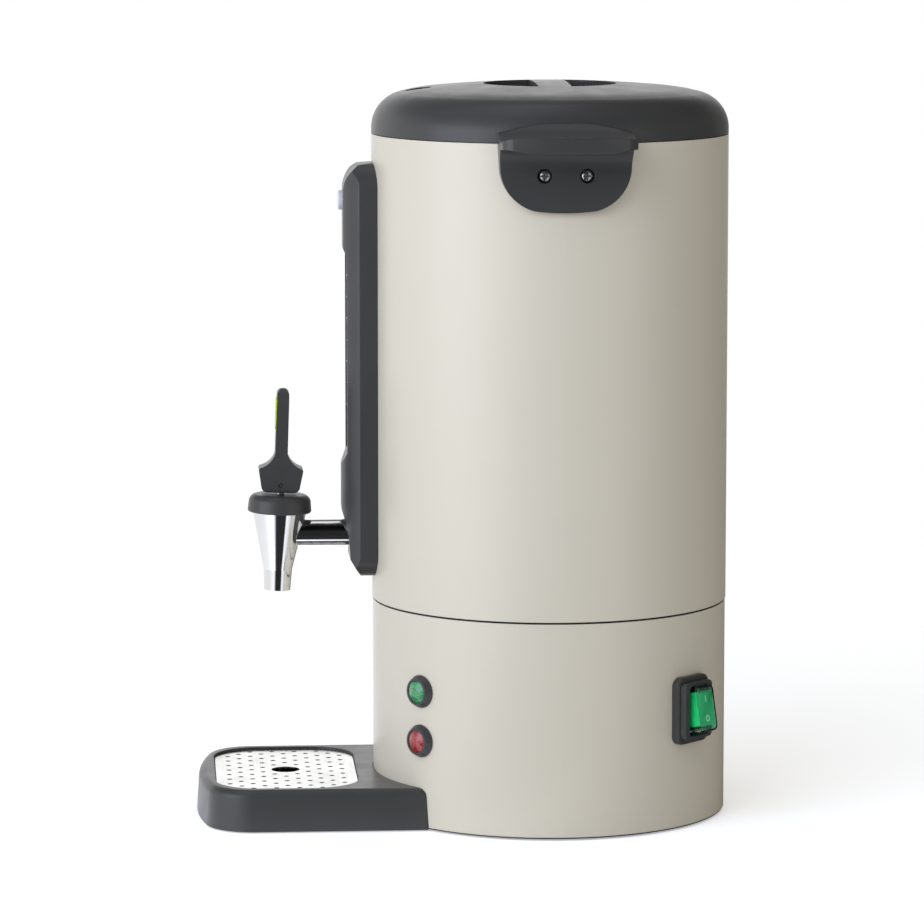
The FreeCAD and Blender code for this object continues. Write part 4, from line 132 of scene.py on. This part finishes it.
def place_in(tree, stretch=(1.0, 1.0, 1.0)):
    """Object coordinates in metres, stretched along the axes."""
    source = add_node(tree, "TexCoord").outputs["Object"]
    return add_node(tree, "Mapping", {"Vector": source, "Scale": stretch}).outputs[0]


def noise(tree, where, scale, detail=2.0, rough=0.5):
    sockets = {"Vector": where, "Scale": scale, "Detail": detail, "Roughness": rough}
    return add_node(tree, "TexNoise", sockets).outputs["Fac"]


def spread(tree, value, low, high, start=0.3, end=0.7):
    """Noise turned into a number between low and high."""
    sockets = {"Value": value, "From Min": start, "From Max": end, "To Min": low, "To Max": high}
    return add_node(tree, "MapRange", sockets).outputs["Result"]


def blend_colours(tree, share, first, second):
    made = add_node(tree, "Mix", data_type="RGBA")
    for name, value in (("Factor", share), ("A", first), ("B", second)):
        socket = [s for s in made.inputs if s.name == name and s.enabled][0]
        if isinstance(value, bpy.types.NodeSocket):
            tree.links.new(value, socket)
        else:
            socket.default_value = value if name == "Factor" else rgba(value)
    return [s for s in made.outputs if s.enabled][0]


def bump(tree, height, distance, strength=1.0, edge=None):
    sockets = {"Height": height, "Distance": distance, "Strength": strength}
    if edge:
        sockets["Normal"] = add_node(tree, "Bevel", {"Radius": edge}, samples=4).outputs[0]
    return add_node(tree, "Bump", sockets).outputs[0]


def principled(name, **sockets):
    """A material with one Principled shader. Underscores in a socket's name stand for spaces."""
    material = bpy.data.materials.new(name)
    material.use_nodes = True
    tree = material.node_tree
    shader = tree.nodes["Principled BSDF"]
    for key, value in sockets.items():
        shader.inputs[key.replace("_", " ")].default_value = value
    return material, tree, shader


def wire(tree, shader, **links):
    for key, output in links.items():
        tree.links.new(output, shader.inputs[key.replace("_", " ")])


def moulded(name, dark, light, rough, grain=2600.0, depth=0.00003, edge=0.0005, **sockets):
    """Moulded plastic or rubber: a fine eroded grain, soft edges and faint handling marks."""
    material, tree, shader = principled(name, **sockets)
    where = place_in(tree)
    cloud = noise(tree, where, 22.0, 4.0)
    tone = blend_colours(tree, spread(tree, cloud, 0.0, 1.0), dark, light)
    roughness = spread(tree, noise(tree, where, 55.0, 5.0, 0.6), rough - 0.035, rough + 0.035)
    grains = noise(tree, where, grain, 2.0)
    wire(tree, shader, Base_Color=tone, Roughness=roughness, Normal=bump(tree, grains, depth, 0.5, edge))
    return material


def metal(name, dark, light, rough, stretch, scale, depth, edge=0.0003, **sockets):
    """Bare or plated metal with marks drawn out along one axis."""
    material, tree, shader = principled(name, Metallic=1.0, **sockets)
    where = place_in(tree, stretch)
    lines = noise(tree, where, scale, 6.0, 0.65)
    tone = blend_colours(tree, spread(tree, lines, 0.0, 1.0), dark, light)
    low, high = rough
    roughness = spread(tree, noise(tree, place_in(tree), 40.0, 4.0), low, high)
    wire(tree, shader, Base_Color=tone, Roughness=roughness, Normal=bump(tree, lines, depth, 0.6, edge))
    return material


def lets_light_in(material, tint):
    """Lamps reach what lies behind this material through a tinted clear stand-in."""
    tree = material.node_tree
    shader = tree.nodes["Principled BSDF"]
    output = tree.nodes["Material Output"]
    clear = add_node(tree, "BsdfTransparent", {"Color": rgba(tint)})
    path = add_node(tree, "LightPath")
    mix = add_node(tree, "MixShader")
    tree.links.new(path.outputs["Is Shadow Ray"], mix.inputs[0])
    tree.links.new(shader.outputs[0], mix.inputs[1])
    tree.links.new(clear.outputs[0], mix.inputs[2])
    tree.links.new(mix.outputs[0], output.inputs["Surface"])
    return material


# Materials, one for each slot of the record
def body_enamel():
    """Satin enamel: a faint orange peel and a slight drift of tone. The inside of the shell is bare steel."""
    material, tree, shader = principled("body_enamel", Specular_IOR_Level=0.5, Coat_Roughness=0.24)
    where = place_in(tree)
    cloud = noise(tree, where, 6.0, 3.0)
    tone = blend_colours(tree, spread(tree, cloud, 0.0, 1.0), ENAMEL_SHADE, ENAMEL)
    roughness = spread(tree, noise(tree, where, 30.0, 4.0), 0.42, 0.47)
    peel = noise(tree, where, 520.0, 2.0)
    across = place_in(tree, (1.0, 1.0, 0.0))
    radius = add_node(tree, "VectorMath", {0: across}, operation="LENGTH").outputs["Value"]
    bare = add_node(tree, "Math", {0: radius, 1: COAT_INSIDE}, operation="LESS_THAN").outputs[0]
    coat = add_node(tree, "Math", {0: radius, 1: COAT_INSIDE}, operation="GREATER_THAN").outputs[0]
    coat = add_node(tree, "Math", {0: coat, 1: COAT_WEIGHT}, operation="MULTIPLY").outputs[0]
    tone = blend_colours(tree, bare, tone, BARE_STEEL)
    wire(tree, shader, Base_Color=tone, Metallic=bare, Coat_Weight=coat, Roughness=roughness,
         Normal=bump(tree, peel, 0.000012, 0.5, 0.0006))
    return material


def black_plastic():
    return moulded("black_plastic", (0.0450, 0.0437, 0.0408), (0.0500, 0.0487, 0.0458), 0.34,
                   Specular_IOR_Level=0.4)


def black_metal():
    return moulded("black_metal", (0.020, 0.020, 0.021), (0.028, 0.028, 0.029), 0.55, grain=900.0,
                   depth=0.00006)


def chrome():
    return metal("chrome", (0.86, 0.87, 0.88), (0.93, 0.93, 0.94), (0.035, 0.075), (1.0, 1.0, 1.0), 30.0,
                 0.000004, edge=0.0004)


def stainless():
    return metal("stainless", (0.62, 0.62, 0.61), (0.73, 0.73, 0.72), (0.18, 0.28), (6.0, 220.0, 220.0), 6.0,
                 0.000006)


def fastener_steel():
    return metal("fastener_steel", (0.52, 0.52, 0.53), (0.66, 0.66, 0.67), (0.22, 0.34), (1.0, 1.0, 1.0),
                 400.0, 0.00001)


def brass():
    return metal("brass", (0.62, 0.43, 0.17), (0.74, 0.55, 0.24), (0.24, 0.36), (1.0, 1.0, 1.0), 300.0,
                 0.00001)


def cast_aluminium():
    return metal("cast_aluminium", (0.50, 0.51, 0.52), (0.63, 0.64, 0.65), (0.42, 0.56), (1.0, 1.0, 1.0),
                 240.0, 0.00012)


def black_rubber():
    return moulded("black_rubber", (0.014, 0.014, 0.014), (0.020, 0.020, 0.020), 0.68, grain=1400.0,
                   depth=0.00006, edge=0.0006)


def clear_silicone():
    material = moulded("clear_silicone", (0.70, 0.70, 0.68), (0.80, 0.80, 0.78), 0.36, grain=700.0,
                       Transmission_Weight=0.55, IOR=1.41)
    return lets_light_in(material, (0.8, 0.8, 0.78))


def sight_glass():
    material, tree, shader = principled("sight_glass", Base_Color=(0.97, 0.99, 0.98, 1.0),
                                        Transmission_Weight=1.0, IOR=1.47)
    haze = noise(tree, place_in(tree), 60.0, 3.0)
    wire(tree, shader, Roughness=spread(tree, haze, 0.01, 0.05))
    return lets_light_in(material, (0.94, 0.97, 0.96))


def scale_plate():
    return moulded("scale_plate", (0.78, 0.78, 0.76), (0.86, 0.86, 0.84), 0.34, grain=1500.0, depth=0.00001)


def cap_grey():
    return moulded("cap_grey", (0.50, 0.50, 0.51), (0.58, 0.58, 0.59), 0.36, grain=1800.0)


def lens(name, deep, bright):
    """Clear coloured lens over a field of small pyramids, as indicator lamps have."""
    material, tree, shader = principled(name, Coat_Weight=1.0, Coat_Roughness=0.06, Roughness=0.2,
                                        Transmission_Weight=0.25, IOR=1.49)
    cells = add_node(tree, "TexVoronoi", {"Vector": place_in(tree), "Scale": 900.0}).outputs["Distance"]
    cloud = noise(tree, place_in(tree), 160.0, 2.0)
    share = add_node(tree, "Math", {0: cells, 1: cloud}, operation="MULTIPLY").outputs[0]
    tone = blend_colours(tree, spread(tree, share, 0.0, 1.0, 0.05, 0.35), bright, deep)
    wire(tree, shader, Base_Color=tone, Normal=bump(tree, cells, 0.0002, 0.5))
    return material


def green_lens():
    return lens("green_lens", (0.012, 0.20, 0.060), (0.05, 0.52, 0.19))


def red_lens():
    return lens("red_lens", (0.26, 0.006, 0.010), (0.62, 0.05, 0.05))


def green_rocker():
    return moulded("green_rocker", (0.018, 0.52, 0.21), (0.030, 0.62, 0.27), 0.25, grain=900.0,
                   depth=0.00001, Coat_Weight=0.5, Coat_Roughness=0.1)


def clear_boot():
    """Tinted clear hood, which takes on the colour of the rocker under it."""
    material, tree, shader = principled("clear_boot", Transmission_Weight=1.0, IOR=1.38)
    haze = noise(tree, place_in(tree), 180.0, 3.0)
    tone = blend_colours(tree, spread(tree, haze, 0.0, 1.0), (0.48, 0.90, 0.70), (0.55, 0.94, 0.76))
    wire(tree, shader, Base_Color=tone, Roughness=spread(tree, haze, 0.05, 0.12))
    return lets_light_in(material, (0.65, 0.95, 0.80))


def lime():
    return moulded("lime", (0.47, 0.66, 0.015), LIME, 0.4, grain=2200.0)


def terminal_plastic():
    return moulded("terminal_plastic", (0.62, 0.59, 0.50), (0.70, 0.67, 0.58), 0.5, grain=1200.0)


def wire_jacket():
    return moulded("wire_jacket", (0.30, 0.035, 0.022), (0.36, 0.045, 0.028), 0.45, grain=1500.0)


def white_ink():
    return moulded("white_ink", (0.80, 0.82, 0.78), WHITE_INK, 0.4, grain=1600.0, depth=0.000005, edge=None)


def slot_materials():
    makers = (body_enamel, black_plastic, black_metal, chrome, stainless, fastener_steel, brass,
              cast_aluminium, black_rubber, clear_silicone, sight_glass, scale_plate, cap_grey, green_lens,
              red_lens, green_rocker, clear_boot, lime, terminal_plastic, wire_jacket)
    return {make.__name__: make() for make in makers}


def dress_model(materials):
    """Give each node of the model its slot's material."""
    for part in frame["record"]["subparts"]:
        piece = frame["nodes"][part["node"]]
        piece.data.materials.clear()
        piece.data.materials.append(materials[part["material_slot"]])


# Marks that are printed on
def add_mark(name, mesh, material, place, body):
    """A thin printed mark, made flat on the XY plane, set at its place."""
    mesh.transform(place)
    mesh.materials.clear()
    mesh.materials.append(material)
    mark = bpy.data.objects.new(name, mesh)
    bpy.context.scene.collection.objects.link(mark)
    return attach(mark, body)


def ring_mesh(name, outer, inner, sides):
    """A flat ring with a little thickness."""
    work = bmesh.new()
    rows = []
    for radius in (outer, inner):
        for height in (0.0, INK_THICK):
            row = []
            for side in range(sides):
                turn = 2 * math.pi * side / sides
                row.append(work.verts.new((radius * math.cos(turn), radius * math.sin(turn), height)))
            rows.append(row)
    low, top, inner_low, inner_top = rows
    for first, second in ((low, top), (top, inner_top), (inner_top, inner_low), (inner_low, low)):
        for side in range(sides):
            following = (side + 1) % sides
            work.faces.new((first[side], first[following], second[following], second[side]))
    return finished_mesh(name, work)


def bar_mesh(name, width, height):
    """A flat bar with rounded ends and a little thickness."""
    work = bmesh.new()
    half = width / 2
    straight = height / 2 - half
    corners = []
    for end, start in ((straight, 0.0), (-straight, math.pi)):
        for step in range(ROUND_END_STEPS + 1):
            turn = start + math.pi * step / ROUND_END_STEPS
            corners.append((half * math.cos(turn), end + half * math.sin(turn), 0.0))
    face = work.faces.new([work.verts.new(corner) for corner in corners])
    raised = bmesh.ops.extrude_face_region(work, geom=[face])["geom"]
    for vert in (item for item in raised if isinstance(item, bmesh.types.BMVert)):
        vert.co.z += INK_THICK
    return finished_mesh(name, work)


def finished_mesh(name, work):
    bmesh.ops.recalc_face_normals(work, faces=work.faces)
    mesh = bpy.data.meshes.new(name)
    work.to_mesh(mesh)
    work.free()
    return mesh


def number_mesh(name, number):
    """A plain numeral, its middle at the origin."""
    curve = bpy.data.curves.new(name + "_outline", "FONT")
    curve.body = str(number)
    curve.size = NUMBER_SIZE
    curve.extrude = INK_THICK / 2
    curve.align_x = "CENTER"
    curve.align_y = "CENTER"
    holder = bpy.data.objects.new(name + "_outline", curve)
    mesh = bpy.data.meshes.new_from_object(holder)
    mesh.name = name
    bpy.data.objects.remove(holder)
    bpy.data.curves.remove(curve)
    return mesh


def on_window(x, height):
    """Flat marks face the front here, on the floor of the gauge's window."""
    upright = Matrix.Rotation(math.pi / 2, 4, "X")
    return Matrix.Translation((x, -WINDOW_FLOOR, height)) @ upright


def add_litre_marks(ink):
    for number in FULL_LITRES:
        height = SCALE_ZERO + LITRE * number
        name = "litre_number_" + str(number)
        add_mark(name, number_mesh(name, number), ink, on_window(NUMBER_PLACE, height), "urn")
    halves = range(2 * FULL_LITRES[0], 2 * FULL_LITRES[-1] + 1)
    for half in halves:
        height = SCALE_ZERO + LITRE * half / 2
        length = TICK_SHORT if half % 2 else TICK_LONG
        name = "litre_tick_" + str(half)
        lying = on_window(-TICK_START - length / 2, height) @ Matrix.Rotation(math.pi / 2, 4, "Z")
        add_mark(name, bar_mesh(name, TICK_THICK, length), ink, lying, "urn")


def on_rocker(height):
    """Flat marks face outwards here, on the tilted face of the rocker."""
    outward = Matrix.Rotation(math.pi / 2, 4, "Z") @ Matrix.Rotation(math.pi / 2, 4, "X")
    local = Matrix.Translation((ROCKER_FACE - ROCKER_AXIS, 0.0, height)) @ outward
    tilted = Matrix.Translation((ROCKER_AXIS, 0.0, 0.0)) @ Matrix.Rotation(-ROCKER_TILT, 4, "Y") @ local
    return Matrix.Rotation(SWITCH_TURN, 4, "Z") @ Matrix.Translation((0.0, 0.0, SWITCH_HEIGHT)) @ tilted


def add_rocker_marks(ink):
    """A stroke for on and a ring for off."""
    stroke = bar_mesh("rocker_on_mark", STROKE_WIDTH, STROKE_HEIGHT)
    add_mark("rocker_on_mark", stroke, ink, on_rocker(SIGN_PLACE), "switch_rocker")
    ring = ring_mesh("rocker_off_mark", RING_RADIUS, RING_BORE, RING_SIDES)
    add_mark("rocker_off_mark", ring, ink, on_rocker(-SIGN_PLACE), "switch_rocker")


# Camera, light and floor
def camera_axes():
    back = Vector((math.sin(CAMERA_TURN), -math.cos(CAMERA_TURN), 0.0))
    right = Vector((math.cos(CAMERA_TURN), math.sin(CAMERA_TURN), 0.0))
    return back, right


def add_camera():
    back, right = camera_axes()
    up = Vector((0.0, 0.0, 1.0))
    level = -right * math.sin(CAMERA_YAW) - back * math.cos(CAMERA_YAW)
    ahead = level * math.cos(CAMERA_PITCH) - up * math.sin(CAMERA_PITCH)
    side = right * math.cos(CAMERA_YAW) - back * math.sin(CAMERA_YAW)
    data = bpy.data.cameras.new("camera")
    data.sensor_width = SENSOR
    data.lens = FOCAL_PIXELS * SENSOR / PHOTO_PIXELS
    camera = bpy.data.objects.new("camera", data)
    camera.rotation_mode = "QUATERNION"
    axes = Matrix((side, side.cross(ahead), -ahead)).transposed()
    camera.rotation_quaternion = axes.to_quaternion()
    camera.location = back * CAMERA_DISTANCE + up * CAMERA_HEIGHT
    bpy.context.scene.collection.objects.link(camera)
    bpy.context.scene.camera = camera


def add_softbox(name, turn, height, distance, size, power, mirrored=True):
    """A square lamp, turn degrees round from the camera towards the back of the urn."""
    back, right = camera_axes()
    angle = math.radians(turn)
    place = (back * math.cos(angle) + right * math.sin(angle)) * distance + Vector((0, 0, height))
    data = bpy.data.lights.new(name, "AREA")
    data.shape = "RECTANGLE"
    data.size, data.size_y = size
    data.energy = power
    data.color = KEY_COLOUR
    lamp = bpy.data.objects.new(name, data)
    lamp.location = place
    lamp.rotation_mode = "QUATERNION"
    lamp.rotation_quaternion = (Vector((0, 0, LAMP_AIM)) - place).to_track_quat("-Z", "Y")
    lamp.visible_glossy = mirrored
    bpy.context.scene.collection.objects.link(lamp)


def ramp(tree, value, low, high, stops):
    """Grey by a piecewise line through stops of (value, grey), between low and high."""
    share = add_node(tree, "MapRange", {"Value": value, "From Min": low, "From Max": high}).outputs["Result"]
    made = add_node(tree, "ValToRGB", {"Fac": share})
    elements = made.color_ramp.elements
    while len(elements) < len(stops):
        elements.new(0.5)
    for element, (at, grey) in zip(elements, stops):
        element.position = (at - low) / (high - low)
        element.color = (grey, grey, grey, 1.0)
    return made.outputs["Color"]


def studio_axes(tree, source, further=0.0):
    """X points from the urn to the camera here, and Y to its right."""
    turn = (0.0, 0.0, math.pi / 2 - CAMERA_TURN + further)
    vector = add_node(tree, "TexCoord").outputs[source]
    turned = add_node(tree, "Mapping", {"Vector": vector, "Rotation": turn}).outputs[0]
    return add_node(tree, "SeparateXYZ", {0: turned}).outputs


def mirrored_round(tree, ahead, right):
    """How bright the studio looks in mirrors in that direction."""
    angle = add_node(tree, "Math", {0: right, 1: ahead}, operation="ARCTAN2").outputs[0]
    degrees = add_node(tree, "Math", {0: angle}, operation="DEGREES").outputs[0]
    return ramp(tree, degrees, -180.0, 180.0, MIRRORED_ROUND)


def add_world():
    """A white studio to look at, dark towards the camera and in the ceiling in mirrors, and soft light from the
    left.
    """
    world = bpy.data.worlds.new("studio")
    bpy.context.scene.world = world
    world.use_nodes = True
    tree = world.node_tree
    shader = tree.nodes["Background"]
    parts = studio_axes(tree, "Generated")
    around = mirrored_round(tree, parts["X"], parts["Y"])
    upward = ramp(tree, parts["Z"], -1.0, 1.0, MIRRORED_UP)
    mirrored = add_node(tree, "VectorMath", {0: around, 1: upward}, operation="MULTIPLY").outputs[0]
    towards = studio_axes(tree, "Generated", -BRIGHT_SIDE)["X"]
    side = add_node(tree, "MapRange", {"Value": towards, "From Min": -1.0, "From Max": 1.0},
                    interpolation_type="SMOOTHSTEP").outputs["Result"]
    ambient = blend_colours(tree, side, DIM_LIGHT, BRIGHT_LIGHT)
    path = add_node(tree, "LightPath")
    lit = blend_colours(tree, path.outputs["Is Glossy Ray"], ambient, mirrored)
    plain = add_node(tree, "Math", {0: path.outputs["Is Camera Ray"], 1: path.outputs["Is Transmission Ray"]},
                     operation="MAXIMUM").outputs[0]
    colour = blend_colours(tree, plain, lit, (1.0, 1.0, 1.0))
    tree.links.new(colour, shader.inputs["Color"])


def floor_material():
    """White to look at, with the object's shadow near it. For mirror rays the floor is painted dark towards the
    camera beyond the tap's foot, a painted reflection that stands in for a dark card.
    """
    material, tree, shader = principled("floor", Roughness=0.7, Base_Color=(0.9, 0.9, 0.9, 1.0))
    shader.inputs["Specular IOR Level"].default_value = 0.1
    output = tree.nodes["Material Output"]
    parts = studio_axes(tree, "Object")
    ahead = add_node(tree, "Math", {0: parts["X"], 1: TAP_FOOT[0]}, operation="SUBTRACT").outputs[0]
    right = add_node(tree, "Math", {0: parts["Y"], 1: TAP_FOOT[1]}, operation="SUBTRACT").outputs[0]
    around = add_node(tree, "CombineXYZ", {0: ahead, 1: right}).outputs[0]
    from_tap = add_node(tree, "VectorMath", {0: around}, operation="LENGTH").outputs["Value"]
    # Painted reflection: mirror rays see the floor painted dark round the tap's foot, as if a dark card stood
    # there
    painted_reflection_edge = {"Value": from_tap, "From Min": PAINTED_REFLECTION_NEAR, "From Max": PAINTED_REFLECTION_FAR}
    painted_reflection_share = add_node(tree, "MapRange", painted_reflection_edge, interpolation_type="SMOOTHSTEP").outputs["Result"]
    mirrored = blend_colours(tree, painted_reflection_share, (1.0, 1.0, 1.0), mirrored_round(tree, ahead, right))
    path = add_node(tree, "LightPath")
    tint = blend_colours(tree, path.outputs["Is Glossy Ray"], (1.0, 1.0, 1.0), mirrored)
    glow = add_node(tree, "Emission", {"Color": tint, "Strength": FLOOR_GLOW})
    white = add_node(tree, "Emission", {"Color": tint, "Strength": 1.0})
    lit = blend_colours(tree, path.outputs["Is Glossy Ray"], (0.9, 0.9, 0.9), tint)
    shade = add_node(tree, "BsdfDiffuse", {"Color": lit})
    both = add_node(tree, "AddShader", {0: shade.outputs[0], 1: glow.outputs[0]})
    where = add_node(tree, "TexCoord").outputs["Object"]
    distance = add_node(tree, "VectorMath", {0: where}, operation="LENGTH").outputs["Value"]
    far = add_node(tree, "MapRange", {"Value": distance, "From Min": FLOOR_NEAR, "From Max": FLOOR_FAR},
                   interpolation_type="SMOOTHSTEP").outputs["Result"]
    faded = add_node(tree, "MixShader", {0: far, 1: both.outputs[0], 2: white.outputs[0]})
    seen = add_node(tree, "Math", {0: path.outputs["Is Camera Ray"], 1: path.outputs["Is Glossy Ray"]},
                    operation="MAXIMUM").outputs[0]
    mix = add_node(tree, "MixShader", {0: seen, 1: shader.outputs[0], 2: faded.outputs[0]})
    tree.links.new(mix.outputs[0], output.inputs["Surface"])
    return material


def add_floor():
    mesh = bpy.data.meshes.new("floor")
    half = FLOOR_SIDE / 2
    mesh.from_pydata([(-half, -half, 0), (half, -half, 0), (half, half, 0), (-half, half, 0)], [], [(0, 1, 2, 3)])
    mesh.materials.append(floor_material())
    floor = bpy.data.objects.new("floor", mesh)
    bpy.context.scene.collection.objects.link(floor)


def add_studio():
    add_world()
    add_floor()
    add_softbox("key", mirrored=False, **KEY_LAMP)
    add_softbox("side", **SIDE_LAMP)
    bpy.context.scene.view_settings.view_transform = "Standard"


materials = slot_materials()
dress_model(materials)
ink = white_ink()
add_litre_marks(ink)
add_rocker_marks(ink)
add_camera()
add_studio()
